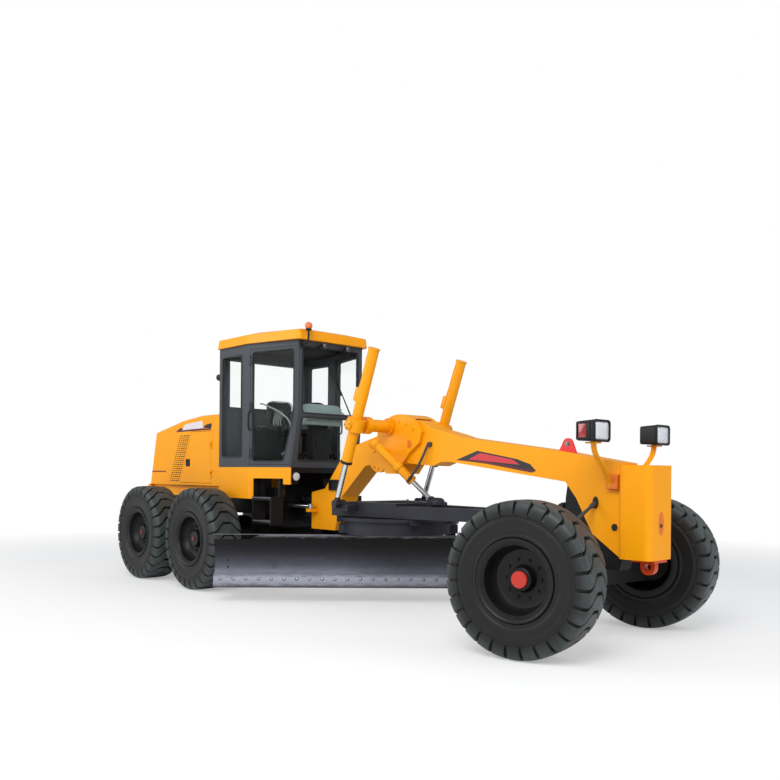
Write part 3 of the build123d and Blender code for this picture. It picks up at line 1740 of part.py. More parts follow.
tow_x = front_axle_x + nose_front - 120
tow_half = 30.0
tow_radius = 72.0
tow_bore = 32.0
with BuildPart() as tow_hitch:
    with BuildSketch(side_plane(tow_x)):
        with Locations((0, nose_bottom - 70)):
            Circle(tow_radius)
            Rectangle(2 * tow_radius, 140, align=(Align.CENTER, Align.MIN))
            Circle(tow_bore, mode=Mode.SUBTRACT)
    extrude(amount=tow_half, both=True)
    add(block((tow_x - 110, tow_x + 110), (-110, 110), (nose_bottom - 25, nose_bottom)))
    add(
        block((tow_x - 80, tow_x + 80), (-90, 90), (nose_bottom, nose_bottom + 80)),
        mode=Mode.SUBTRACT,
    )
save(tow_hitch.part, "tow_hitch")
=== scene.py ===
"""Looks of a motor grader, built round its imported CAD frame. Metres, +X forward, +Y left, +Z up."""
import json
import math

import bmesh
import bpy
import numpy as np
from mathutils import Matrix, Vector


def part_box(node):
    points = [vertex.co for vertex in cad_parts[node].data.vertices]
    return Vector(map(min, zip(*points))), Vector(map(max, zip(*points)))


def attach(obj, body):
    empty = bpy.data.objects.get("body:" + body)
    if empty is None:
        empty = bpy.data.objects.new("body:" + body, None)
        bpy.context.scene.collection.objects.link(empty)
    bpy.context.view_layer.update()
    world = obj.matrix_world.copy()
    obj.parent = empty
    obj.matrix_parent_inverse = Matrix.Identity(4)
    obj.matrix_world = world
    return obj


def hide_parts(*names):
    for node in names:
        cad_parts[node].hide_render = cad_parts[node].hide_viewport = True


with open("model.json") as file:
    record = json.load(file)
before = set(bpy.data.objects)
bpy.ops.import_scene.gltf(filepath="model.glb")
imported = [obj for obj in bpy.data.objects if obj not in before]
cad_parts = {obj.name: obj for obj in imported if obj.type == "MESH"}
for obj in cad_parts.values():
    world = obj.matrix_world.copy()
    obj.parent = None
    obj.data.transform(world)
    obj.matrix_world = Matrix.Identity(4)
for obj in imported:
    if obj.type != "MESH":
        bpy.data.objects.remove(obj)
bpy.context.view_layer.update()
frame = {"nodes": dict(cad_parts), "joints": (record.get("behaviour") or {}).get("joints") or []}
nodes = frame["nodes"]
joints = {joint["name"]: joint for joint in frame["joints"]}

# ---------------------------------------------------------------- studio
# A pale floor that fades into the background, a large soft sky and three soft lamps.
# The camera stands low at the machine's front right corner.
def new_material(name):
    """An empty node material with its output and one Principled shader."""
    material = bpy.data.materials.new(name)
    material.use_nodes = True
    tree = material.node_tree
    tree.nodes.clear()
    output = tree.nodes.new("ShaderNodeOutputMaterial")
    shader = tree.nodes.new("ShaderNodeBsdfPrincipled")
    link(tree, shader, 0, output, "Surface")
    return material, tree, shader, output


def link(tree, source, output, target, socket):
    """Joins a node's output to another node's input."""
    tree.links.new(source.outputs[output], target.inputs[socket])


def add_node(tree, kind, **values):
    """A node whose properties and named or numbered sockets are set from the values."""
    node = tree.nodes.new(kind)
    for key, value in values.items():
        if hasattr(node, key):
            setattr(node, key, value)
        else:
            slot = int(key[1:]) if key[0] == "_" and key[1:].isdigit() else key.replace("_", " ")
            node.inputs[slot].default_value = value
    return node


def set_sockets(shader, **values):
    """Constants on a shader's sockets, with an underscore for each space of a name."""
    for socket, value in values.items():
        shader.inputs[socket.replace("_", " ")].default_value = value


def srgb(red, green, blue):
    """A colour given in 0-255 display values, as a linear RGBA tuple."""
    part = np.array([red, green, blue]) / 255.0
    linear = np.where(part <= 0.04045, part / 12.92, ((part + 0.055) / 1.055) ** 2.4)
    return (*linear.tolist(), 1.0)


world = bpy.data.worlds.new("studio")
bpy.context.scene.world = world
world.use_nodes = True
tree = world.node_tree
tree.nodes.clear()
output = tree.nodes.new("ShaderNodeOutputWorld")
path = tree.nodes.new("ShaderNodeLightPath")
seen = add_node(tree, "ShaderNodeMath", operation="MAXIMUM")
link(tree, path, "Is Camera Ray", seen, 0)
link(tree, path, "Is Transmission Ray", seen, 1)
sky = add_node(tree, "ShaderNodeBackground", Color=(0.93, 0.96, 1.0, 1.0), Strength=0.5)
backdrop = add_node(tree, "ShaderNodeBackground", Color=(1.0, 1.0, 1.0, 1.0), Strength=1.0)
mix = tree.nodes.new("ShaderNodeMixShader")
link(tree, seen, 0, mix, 0)
link(tree, sky, 0, mix, 1)
link(tree, backdrop, 0, mix, 2)
link(tree, mix, 0, output, "Surface")

floor_half = 60.0
floor_mesh = bpy.data.meshes.new("floor")
corners = np.array([(-1, -1, 0), (1, -1, 0), (1, 1, 0), (-1, 1, 0)], float) * floor_half
floor_mesh.from_pydata(corners.tolist(), [], [(0, 1, 2, 3)])
floor = bpy.data.objects.new("floor", floor_mesh)
bpy.context.scene.collection.objects.link(floor)
floor_paint, tree, shader, output = new_material("floor")
set_sockets(shader, Base_Color=(0.9, 0.9, 0.9, 1.0), Roughness=0.9)
place = tree.nodes.new("ShaderNodeTexCoord")
far = add_node(tree, "ShaderNodeVectorMath", operation="LENGTH")
ramp = add_node(tree, "ShaderNodeMapRange", From_Min=6.5, From_Max=13.0, To_Min=0.35)
path = tree.nodes.new("ShaderNodeLightPath")
gate = add_node(tree, "ShaderNodeMath", operation="MULTIPLY")
glow = add_node(tree, "ShaderNodeEmission", Color=(1.0, 1.0, 1.0, 1.0), Strength=1.0)
mix = tree.nodes.new("ShaderNodeMixShader")
link(tree, place, "Object", far, 0)
link(tree, far, "Value", ramp, "Value")
link(tree, ramp, 0, gate, 0)
link(tree, path, "Is Camera Ray", gate, 1)
link(tree, gate, 0, mix, 0)
link(tree, shader, 0, mix, 1)
link(tree, glow, 0, mix, 2)
link(tree, mix, 0, output, "Surface")
floor_mesh.materials.append(floor_paint)


def area_lamp(name, place, target, size, power):
    """A square soft lamp that looks at a point."""
    lamp = bpy.data.lights.new(name, "AREA")
    lamp.size = size
    lamp.energy = power
    holder = bpy.data.objects.new(name, lamp)
    bpy.context.scene.collection.objects.link(holder)
    holder.location = place
    holder.rotation_euler = (Vector(target) - Vector(place)).to_track_quat("-Z", "Y").to_euler()


area_lamp("key_lamp", (7.0, -9.0, 9.0), (0.0, 0.0, 1.0), 7.0, 1080.0)
area_lamp("side_lamp", (-7.0, -10.0, 6.0), (-1.5, 0.0, 1.2), 7.0, 540.0)
area_lamp("nose_lamp", (12.0, 3.0, 6.0), (3.0, 0.0, 1.0), 5.0, 270.0)

camera_data = bpy.data.cameras.new("camera")
camera_data.sensor_width = 36.0
camera_data.lens = 37.88
camera_data.shift_x = -0.0299
camera_data.shift_y = 0.1083
camera = bpy.data.objects.new("camera", camera_data)
bpy.context.scene.collection.objects.link(camera)
camera.location = (8.2604, -6.5923, 1.5605)
camera.rotation_mode = "XYZ"
camera.rotation_euler = (math.radians(90 - 0.04), math.radians(-0.5), math.radians(46.56))
bpy.context.scene.camera = camera
bpy.context.scene.view_settings.view_transform = "Standard"

# ---------------------------------------------------------------- paints of the CAD bodywork
# Yellow panels, grey cab pressings, satin black chassis parts, slate castings and bright rods.
# Each paint has a faint mottle in its colour and gloss, and a fine orange-peel skin.
def skin_group():
    """Shared effect: a mottle value, a fine grain value and a bumped normal, from object space."""
    group = bpy.data.node_groups.new("skin", "ShaderNodeTree")
    for name, kind, low in (("Scale", "NodeSocketFloat", 3.0), ("Grain", "NodeSocketFloat", 300.0),
                            ("Bump", "NodeSocketFloat", 0.1)):
        group.interface.new_socket(name, in_out="INPUT", socket_type=kind).default_value = low
    for name, kind in (("Mottle", "NodeSocketFloat"), ("Fine", "NodeSocketFloat"),
                       ("Normal", "NodeSocketVector")):
        group.interface.new_socket(name, in_out="OUTPUT", socket_type=kind)
    inside = add_node(group, "NodeGroupInput")
    outside = add_node(group, "NodeGroupOutput")
    place = add_node(group, "ShaderNodeTexCoord")
    wide = add_node(group, "ShaderNodeTexNoise", Detail=5.0, Roughness=0.6)
    fine = add_node(group, "ShaderNodeTexNoise", Detail=3.0, Roughness=0.5)
    bump = add_node(group, "ShaderNodeBump", Distance=0.001)
    for noise, socket in ((wide, "Scale"), (fine, "Grain")):
        link(group, place, "Object", noise, "Vector")
        link(group, inside, socket, noise, "Scale")
    link(group, fine, "Fac", bump, "Height")
    link(group, inside, "Bump", bump, "Strength")
    link(group, wide, "Fac", outside, "Mottle")
    link(group, fine, "Fac", outside, "Fine")
    link(group, bump, "Normal", outside, "Normal")
    return group


skin = skin_group()


def skin_node(tree, scale=3.0, grain=300.0, bump=0.1):
    """The shared effect inside a material."""
    effect = tree.nodes.new("ShaderNodeGroup")
    effect.node_tree = skin
    for socket, value in (("Scale", scale), ("Grain", grain), ("Bump", bump)):
        effect.inputs[socket].default_value = value
    return effect


def blend(tree, low, high):
    """A colour mix between two colours."""
    colour = add_node(tree, "ShaderNodeMix", data_type="RGBA")
    colour.inputs[6].default_value = low
    colour.inputs[7].default_value = high
    return colour


def paint(name, light, dark, rough=(0.3, 0.45), scale=3.0, grain=300.0, bump=0.1, **sockets):
    """A mottled finish between two colours, with its roughness range and other shader sockets."""
    material, tree, shader, output = new_material(name)
    effect = skin_node(tree, scale, grain, bump)
    colour = blend(tree, dark, light)
    gloss = add_node(tree, "ShaderNodeMapRange", From_Min=0.3, From_Max=0.7, To_Min=rough[0],
                     To_Max=rough[1])
    link(tree, effect, "Mottle", colour, 0)
    link(tree, effect, "Mottle", gloss, "Value")
    link(tree, colour, 2, shader, "Base Color")
    link(tree, gloss, 0, shader, "Roughness")
    link(tree, effect, "Normal", shader, "Normal")
    set_sockets(shader, **sockets)
    return material


def dress(material, *names):
    """Gives CAD nodes their finish."""
    for name in names:
        nodes[name].data.materials.clear()
        nodes[name].data.materials.append(material)


yellow_light, yellow_dark = srgb(243, 160, 4), srgb(237, 151, 3)
black_light, black_dark = srgb(20, 20, 23), srgb(12, 12, 15)
yellow = paint("yellow_paint", yellow_light, yellow_dark, rough=(0.36, 0.48),
               Specular_IOR_Level=0.22, Coat_Weight=0.08, Coat_Roughness=0.2)
cab_grey = paint("cab_grey_paint", srgb(68, 72, 78), srgb(58, 61, 67), rough=(0.42, 0.55),
                 Specular_IOR_Level=0.25)
black = paint("black_paint", black_light, black_dark, rough=(0.42, 0.58), Specular_IOR_Level=0.25)
slate = paint("slate_casting", srgb(42, 43, 52), srgb(24, 25, 32), rough=(0.38, 0.55), grain=160.0,
              bump=0.25, Specular_IOR_Level=0.3)
chrome = paint("chrome", srgb(225, 227, 230), srgb(200, 203, 208), rough=(0.08, 0.2), scale=9.0,
               Metallic=1.0)
cast = paint("cast_iron", srgb(70, 70, 70), srgb(45, 45, 46), rough=(0.5, 0.7), grain=120.0,
             bump=0.4)
red = paint("tow_orange", srgb(206, 72, 22), srgb(186, 58, 16), rough=(0.3, 0.45))
dress(yellow, "hood", "cab_roof", "saddle", "engine_door_left", "engine_door_right",
      "lift_barrel_left", "lift_barrel_right", "shift_barrel")
dress(cab_grey, "cab_frame", "door_left", "door_right")
dress(black, "rear_axle", "tandem_cases", "front_axle", "knuckle_left", "knuckle_right",
      "tie_rod", "rear_grille", "steps", "head_lamps", "cab_lamps",
      "articulation_barrel_left", "articulation_barrel_right")
dress(slate, "drawbar", "circle", "blade_carrier")
dress(chrome, "shift_rod", "blade_shift_rod", "articulation_rod_left", "articulation_rod_right")
dress(cast, "engine_block")
dress(red, "tow_hitch")


def two_coat(name, weights, limit, start=-9.0):
    """Yellow where the weighted sum of x (not below start), |y| and z passes limit, else black."""
    material, tree, shader, output = new_material(name)
    effect = skin_node(tree)
    place = tree.nodes.new("ShaderNodeTexCoord")
    parts = tree.nodes.new("ShaderNodeSeparateXYZ")
    along = add_node(tree, "ShaderNodeMath", operation="MAXIMUM", _1=start)
    width = add_node(tree, "ShaderNodeMath", operation="ABSOLUTE")
    whole = tree.nodes.new("ShaderNodeCombineXYZ")
    weighed = add_node(tree, "ShaderNodeVectorMath", operation="DOT_PRODUCT", _1=weights)
    outside = add_node(tree, "ShaderNodeMath", operation="GREATER_THAN", _1=limit)
    inner, outer, coat = (add_node(tree, "ShaderNodeMix", data_type="RGBA") for _ in range(3))
    for colour, dark, light in ((inner, black_dark, black_light),
                                (outer, yellow_dark, yellow_light)):
        colour.inputs[6].default_value = dark
        colour.inputs[7].default_value = light
        link(tree, effect, "Mottle", colour, 0)
    link(tree, place, "Object", parts, 0)
    link(tree, parts, "X", along, 0)
    link(tree, parts, "Y", width, 0)
    link(tree, along, 0, whole, 0)
    link(tree, width, 0, whole, 1)
    link(tree, parts, "Z", whole, 2)
    link(tree, whole, 0, weighed, 0)
    link(tree, weighed, "Value", outside, 0)
    link(tree, outside, 0, coat, 0)
    link(tree, inner, 2, coat, 6)
    link(tree, outer, 2, coat, 7)
    link(tree, coat, 2, shader, "Base Color")
    link(tree, effect, "Normal", shader, "Normal")
    set_sockets(shader, Roughness=0.43, Specular_IOR_Level=0.22)
    return material


# The hitch ears, the cab base's underside and the frame are black, apart from its upper edge under
# the hood; the rest of each is yellow.
dress(two_coat("front_frame_coats", (1.0, 0.0, 0.0), -0.497), "front_frame")
cab_post_x, cab_taper = -1.075, 0.2803  # the cab narrows ahead of its post
dress(two_coat("cab_base_coats", (cab_taper, 1.0, 0.0), 0.4337, cab_post_x), "cab_base")
dress(two_coat("rear_frame_coats", (-100.0, 0.0, 1.0), 191.200, -1.9), "rear_frame")

# ---------------------------------------------------------------- window glass
# Clear panes with a slight green-grey tint.
pane, tree, shader, output = new_material("glass")
set_sockets(shader, Base_Color=(0.965, 0.98, 0.975, 1.0), Roughness=0.02, Transmission_Weight=1.0,
            IOR=1.1)
dress(pane, "cab_glass", "door_glass_left", "door_glass_right")

# ---------------------------------------------------------------- tyres
# Six earthmover tyres with 27 curved lug blocks that wrap down the shoulders, parted by grooves,
# and moulded rings on the sidewalls. The mesh follows each groove's curve across the tread.
def closed_mesh(name, points, faces):
    """A mesh whose poles are closed and whose faces look outward."""
    mesh = bpy.data.meshes.new(name)
    mesh.from_pydata(np.asarray(points).tolist(), [], [tuple(face) for face in faces])
    work = bmesh.new()
    work.from_mesh(mesh)
    bmesh.ops.remove_doubles(work, verts=work.verts, dist=1e-6)
    bmesh.ops.recalc_face_normals(work, faces=work.faces)
    work.to_mesh(mesh)
    work.free()
    return mesh


def mesh_piece(name, points, faces, material, body, slot, replaces=(), sharp=35.0):
    """A smooth closed piece that rides on a body, sharp where faces meet steeply."""
    mesh = closed_mesh(name, points, faces)
    mesh.shade_smooth()
    mesh.set_sharp_from_angle(angle=math.radians(sharp))
    mesh.materials.append(material)
    piece = bpy.data.objects.new(name, mesh)
    bpy.context.scene.collection.objects.link(piece)
    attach(piece, body)
    if replaces:
        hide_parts(*replaces)
    return piece


def grid_faces(rows, columns, close_rows=False):
    """Quads of a grid whose columns close into a ring, and whose rows may close too."""
    row, column = np.meshgrid(np.arange(rows if close_rows else rows - 1), np.arange(columns),
                              indexing="ij")
    after_row = (row + 1) % rows
    after_column = (column + 1) % columns
    corners = (row * columns + column, row * columns + after_column,
               after_row * columns + after_column, after_row * columns + column)
    return np.stack([corner.ravel() for corner in corners], axis=1)


def wheel_place(name):
    """A wheel's middle, its outward, forward and up directions, half width and radius."""
    joint = joints["spin_" + name]
    out = np.array(joint["axis"], float)
    centre = np.array(joint["pos_m"], float)
    points = np.array([vertex.co for vertex in nodes["tyre_" + name].data.vertices], float) - centre
    along = points @ out
    middle = (along.max() + along.min()) / 2
    radius = np.linalg.norm(points - np.outer(along, out), axis=1).max()
    forward = np.cross(out, (0.0, 0.0, 1.0))
    forward *= np.sign(forward[0])
    return centre + out * middle, out, forward, (along.max() - along.min()) / 2, radius


def around(place, across, radius, angle):
    """Points at distances across and round a wheel, the angle measured forward from the top."""
    centre, out, forward = place[:3]
    up = np.array((0.0, 0.0, 1.0))
    return (centre + across[..., None] * out + (radius * np.cos(angle))[..., None] * up
            + (radius * np.sin(angle))[..., None] * forward)


rubber, tree, shader, output = new_material("tyre_rubber")
wear_and_highlight_input = add_node(tree, "ShaderNodeAttribute", attribute_name="lug_wear_and_highlight")
effect = skin_node(tree, 7.0, 220.0, 0.35)
base = blend(tree, srgb(13, 13, 13), srgb(23, 23, 22))
# The lug tops are mixed toward a pale grey-green: partly dust and wear, partly a painted highlight of
# light falling on the tread; the grooves and sidewalls keep the dark rubber.
dust_and_highlight = add_node(tree, "ShaderNodeMix", data_type="RGBA")
dust_and_highlight.inputs[7].default_value = srgb(80, 88, 88)
amount = add_node(tree, "ShaderNodeMath", operation="MULTIPLY")
link(tree, effect, "Mottle", base, 0)
link(tree, wear_and_highlight_input, "Fac", amount, 0)
link(tree, effect, "Mottle", amount, 1)
link(tree, amount, 0, dust_and_highlight, 0)
link(tree, base, 2, dust_and_highlight, 6)
link(tree, dust_and_highlight, 2, shader, "Base Color")
link(tree, effect, "Normal", shader, "Normal")
set_sockets(shader, Roughness=0.45, Specular_IOR_Level=0.32)

wheel_names = ("front_left", "front_right", "middle_left", "middle_right", "rear_left",
               "rear_right")
lug_count = 27
groove_depth = 0.032
groove_half = 0.105  # of the pitch
half_profile = np.array((  # across, radius, share of the groove's depth
    (0.190, 0.3190, 0.0), (0.193, 0.3500, 0.0), (0.198, 0.3600, 0.0), (0.206, 0.3680, 0.0),
    (0.207, 0.3900, 0.0), (0.2035, 0.3960, 0.0), (0.2080, 0.4020, 0.0), (0.2140, 0.4400, 0.0),
    (0.2180, 0.4780, 0.0), (0.2190, 0.4920, 0.0), (0.2225, 0.4980, 0.0), (0.2225, 0.5080, 0.0),
    (0.2175, 0.5160, 0.0), (0.2165, 0.5360, 0.0), (0.2160, 0.5460, 0.0), (0.2210, 0.5500, 0.15),
    (0.2205, 0.5600, 0.30), (0.2190, 0.5800, 0.50), (0.2165, 0.6050, 0.65), (0.2120, 0.6300, 0.80),
    (0.2030, 0.6500, 0.92), (0.1890, 0.6630, 1.0), (0.1650, 0.6700, 1.0), (0.1300, 0.6725, 1.0),
    (0.0950, 0.6740, 1.0), (0.0600, 0.6750, 1.0), (0.0300, 0.6750, 1.0), (0.0, 0.6750, 1.0)))
profile = np.vstack((half_profile, half_profile[-2::-1] * (-1.0, 1.0, 1.0)))
tangent = np.gradient(profile[:, :2], axis=0)
inward = np.stack((-tangent[:, 1], tangent[:, 0]), axis=1)
inward /= np.linalg.norm(inward, axis=1)[:, None]
inward[inward @ (0.0, 1.0) > 0] *= -1
phase = np.array((0.0, 0.6, 0.8, 1.0, 1.18)) * groove_half
phase = np.concatenate((phase, (0.2, 0.3, 0.4, 0.5, 0.6, 0.7, 0.8), 1.0 - phase[:0:-1]))
sunk = np.clip((1.0 - np.minimum(phase, 1.0 - phase) / groove_half) / 0.3, 0.0, 1.0)
rounding = np.where(np.isclose(np.minimum(phase, 1.0 - phase), groove_half), 0.08, 0.0)
spread = np.clip(np.abs(profile[:, 0]) / 0.19, 0.0, 1.0)
bow = 0.75 * np.cos(spread * math.pi / 2) + 0.10 * np.sin(2 * math.pi * spread)
for name in wheel_names:
    place = wheel_place(name)
    lug = np.arange(lug_count)[:, None] + phase[None, :]
    angle = (lug.ravel()[None, :] - bow[:, None]) * 2 * math.pi / lug_count
    depth = np.tile(np.maximum(sunk, rounding), lug_count)[None, :] * profile[:, 2:3] * groove_depth
    across = profile[:, 0:1] + inward[:, 0:1] * depth
    radius = profile[:, 1:2] + inward[:, 1:2] * depth
    points = around(place, across, radius, angle)
    faces = grid_faces(len(profile), angle.shape[1], close_rows=True)
    piece = mesh_piece("tyre_" + name + "_rubber", points.reshape(-1, 3), faces, rubber,
                       "wheel_" + name, "tyre", ("tyre_" + name,))
    # The mask that lightens the lug tops is partly dust and wear and partly a painted highlight on
    # the tread.
    tread = np.clip((profile[:, 1:2] - 0.56) / 0.10, 0.12, 1.0) * (profile[:, 2:3] > 0.1)
    lug_wear_and_highlight = tread * (1.0 - np.tile(sunk, lug_count)[None, :])
    mask = piece.data.attributes.new("lug_wear_and_highlight", "FLOAT", "POINT")
    mask.data.foreach_set("value", lug_wear_and_highlight.astype(np.float32).ravel())

# ---------------------------------------------------------------- rims and hubs
# Satin black steel rims with a rolled flange, a lock ring and a deep dish held by ten nuts.
# An orange-red cap closes each front hub, and a small dark red plug each driven one.
def turned(profile, centre, axis, columns=72, close=False):
    """A profile of (along the axis, radius) carried round the axis, as points and quads."""
    axis = np.asarray(axis, float) / np.linalg.norm(axis)
    side = np.cross(axis, (0.0, 0.0, 1.0) if abs(axis[2]) < 0.9 else (1.0, 0.0, 0.0))
    side /= np.linalg.norm(side)
    angle = np.arange(columns) * 2 * math.pi / columns
    spoke = np.cos(angle)[:, None] * side + np.sin(angle)[:, None] * np.cross(side, axis)
    profile = np.asarray(profile, float)
    points = np.asarray(centre, float) + profile[:, None, :1] * axis + profile[:, None, 1:] * spoke
    return points.reshape(-1, 3), grid_faces(len(profile), columns, close)


def joined(shapes):
    """Several shapes of points and faces as one."""
    points, faces, count = [], [], 0
    for shape_points, shape_faces in shapes:
        points.append(np.asarray(shape_points, float))
        faces.extend(tuple(int(corner) + count for corner in face) for face in shape_faces)
        count += len(shape_points)
    return np.vstack(points), faces


def stud_shapes(places, axis, radius, height, sides=6):
    """Chamfered bolt heads or nuts standing on the given places along the axis."""
    profile = ((-0.002, 0.0), (-0.002, radius), (0.7 * height, radius), (height, 0.82 * radius),
               (height, 0.0))
    return [turned(profile, place, axis, sides) for place in places]


def circle_places(centre, axis, radius, count):
    """Evenly spaced places on a circle round an axis."""
    return turned(((0.0, radius),), centre, axis, count)[0]


rim_black = paint("rim_black", srgb(22, 22, 21), srgb(12, 12, 12), rough=(0.38, 0.52), grain=180.0,
                  Specular_IOR_Level=0.3)
cap_red = paint("cap_red", srgb(196, 48, 34), srgb(180, 40, 28), rough=(0.35, 0.5))
plug_red = paint("plug_red", srgb(112, 24, 26), srgb(88, 18, 20), rough=(0.4, 0.55))
for name in wheel_names:
    centre, out = wheel_place(name)[:2]
    face = 0.100 if name.startswith("front") else 0.135  # hub's face from the wheel's middle
    dish = face - 0.110
    profile = ((-0.212, 0.288), (-0.212, 0.340), (-0.207, 0.350), (-0.199, 0.353), (-0.193, 0.348),
               (-0.193, 0.3175), (0.193, 0.3175), (0.193, 0.350), (0.198, 0.357), (0.207, 0.359),
               (0.215, 0.355), (0.217, 0.346), (0.212, 0.339), (0.208, 0.330), (0.207, 0.322),
               (0.201, 0.317), (0.199, 0.309), (0.193, 0.305), (0.191, 0.298), (0.184, 0.293),
               (0.150, 0.289), (dish + 0.110, 0.286), (dish + 0.070, 0.274), (dish + 0.040, 0.250),
               (dish + 0.028, 0.215), (dish + 0.026, 0.120), (face - 0.035, 0.106),
               (face - 0.012, 0.100), (face - 0.006, 0.092), (face - 0.006, 0.020),
               (face - 0.020, 0.020), (face - 0.020, 0.050),
               (dish - 0.070, 0.050), (dish - 0.070, 0.100), (dish, 0.120), (dish, 0.200),
               (dish + 0.060, 0.280))
    nuts = circle_places(centre + out * (dish + 0.026), out, 0.165, 10)
    mesh_piece("rim_" + name + "_steel", *joined([turned(profile, centre, out, close=True)]
                                                 + stud_shapes(nuts, out, 0.014, 0.018)),
               rim_black, "wheel_" + name, "rim", ("rim_" + name,), sharp=28.0)
    size = 1.0 if name.startswith("front") else 0.42  # the driven hubs show only a small plug
    cap = ((-0.02, 0.0), (-0.02, 0.074), (0.010, 0.074), (0.016, 0.071), (0.018, 0.064),
           (0.019, 0.030),
           (0.019, 0.0))
    cap = [(along * size, radius * size) for along, radius in cap]
    mesh_piece("hub_cap_" + name, *turned(cap,
                                          centre + out * (face if size == 1.0 else face - 0.004),
                                          out, 48),
               cap_red if size == 1.0 else plug_red, "wheel_" + name, "rim")

# ---------------------------------------------------------------- front frame fittings
# Red lifting eye with its bolt on the girder's back, the cast link to each front wheel's yoke,
# port rings in the side plates, the nose's slot, and a plain striped wedge along each flank.
def slab(outline, origin, along, up, half, bevel=0.002):
    """A flat outline (along, up) carried half to both sides, its rim drawn in by the bevel."""
    outline = np.asarray(outline, float)
    area = np.sum(outline[:, 0] * np.roll(outline[:, 1],
                                          -1) - outline[:, 1] * np.roll(outline[:, 0], -1))
    outline = outline if area > 0 else outline[::-1]
    edge = np.roll(outline, -1, axis=0) - outline
    edge /= np.linalg.norm(edge, axis=1)[:, None]
    inward = np.stack((-edge[:, 1], edge[:, 0]), axis=1)
    corner = inward + np.roll(inward, 1, axis=0)
    corner /= np.maximum(np.sum(corner * inward, axis=1), 0.35)[:, None]
    drawn = outline + corner * bevel
    along, up = np.asarray(along, float), np.asarray(up, float)
    out = np.cross(along, up)
    rows = ((drawn, -half), (outline, bevel - half), (outline, half - bevel), (drawn, half))
    points = np.vstack([np.asarray(origin) + ring[:, :1] * along + ring[:, 1:] * up + depth * out
                        for ring, depth in rows])
    count = len(outline)
    caps = [tuple(range(count))[::-1], tuple(range(3 * count, 4 * count))]
    return points, [tuple(face) for face in grid_faces(4, count)] + caps


def tube(path, radius, sides=16):
    """A round bar along a path: each ring stands square to the path's run at its point."""
    path = np.asarray(path, float)
    run = np.gradient(path, axis=0)
    run /= np.linalg.norm(run, axis=1)[:, None]
    lean = np.eye(3)[np.argmin(abs(run).max(axis=0))]  # the axis that the path turns towards least
    side = np.cross(run, lean)
    side /= np.linalg.norm(side, axis=1)[:, None]
    lift = np.cross(side, run)
    angle = np.arange(sides) * 2 * math.pi / sides
    radius = np.broadcast_to(np.asarray(radius, float), len(path))
    rings = (path[:, None] + radius[:, None, None] * (np.cos(angle)[:, None] * side[:, None]
                                                     + np.sin(angle)[:, None] * lift[:, None]))
    rings = np.concatenate((np.repeat(path[:1, None], sides, axis=1), rings,
                            np.repeat(path[-1:, None], sides, axis=1)))
    return rings.reshape(-1, 3), grid_faces(len(rings), sides)


def bent(path, times=3):
    """A pipe's bends: each corner of the path is cut at a quarter of its runs, a few times over."""
    path = np.asarray(path, float)
    for _ in range(times):
        cut = np.stack((0.75 * path[:-1] + 0.25 * path[1:], 0.25 * path[:-1] + 0.75 * path[1:]),
                       axis=1)
        path = np.vstack((path[:1], cut.reshape(-1, 3)[1:-1], path[-1:]))
    return path


def arc(centre, radius, start, end, count=14):
    """Points of a flat arc, angles in degrees."""
    angle = np.radians(np.linspace(start, end, count))
    return [(centre[0] + radius * math.cos(a), centre[1] + radius * math.sin(a)) for a in angle]


zinc = paint("zinc_bolts", srgb(150, 150, 145), srgb(110, 110, 106), rough=(0.3, 0.45), scale=20.0,
             Metallic=0.8)
eye_red = paint("eye_red", srgb(222, 40, 48), srgb(205, 30, 38), rough=(0.3, 0.42))
# A darker orange: the colour given to the nose's slot and the saddle pads, and painted shade on the
# lamp brackets in the corner beside the nose.
orange_and_painted_shade = paint("orange_and_painted_shade", srgb(226, 118, 22), srgb(205, 98, 16), rough=(0.35, 0.5))
# Black for holes and gaps: painted shade of the openings in the ports, of the nose slot's centre and
# round the blade's bolts.
hole_shade = paint("hole_shade", srgb(14, 14, 15), srgb(8, 8, 9), rough=(0.6, 0.8))
girder_half = 0.134
ahead, leftward, upward = (1.0, 0.0, 0.0), (0.0, 1.0, 0.0), (0.0, 0.0, 1.0)
eye = [(3.385, 1.795), (3.412, 1.838)] + arc((3.490, 1.864), 0.058, 165,
                                             15) + [(3.572, 1.815), (3.595, 1.762)]
eye_bolt = [turned(((0.0, 0.0), (0.0, 0.027), (0.006, 0.027), (0.006, 0.019), (0.016, 0.018),
                    (0.016, 0.0)), (3.490, side * 0.017, 1.866), (0, side, 0),
                   24) for side in (1, -1)]
mesh_piece("lifting_eye", *slab(eye, (0, 0, 0), ahead, upward, 0.018, 0.004), eye_red, "front",
           "red")
mesh_piece("lifting_eye_bolt", *joined(eye_bolt), zinc, "front", "chrome")
ports, port_rims, links = [], [], []
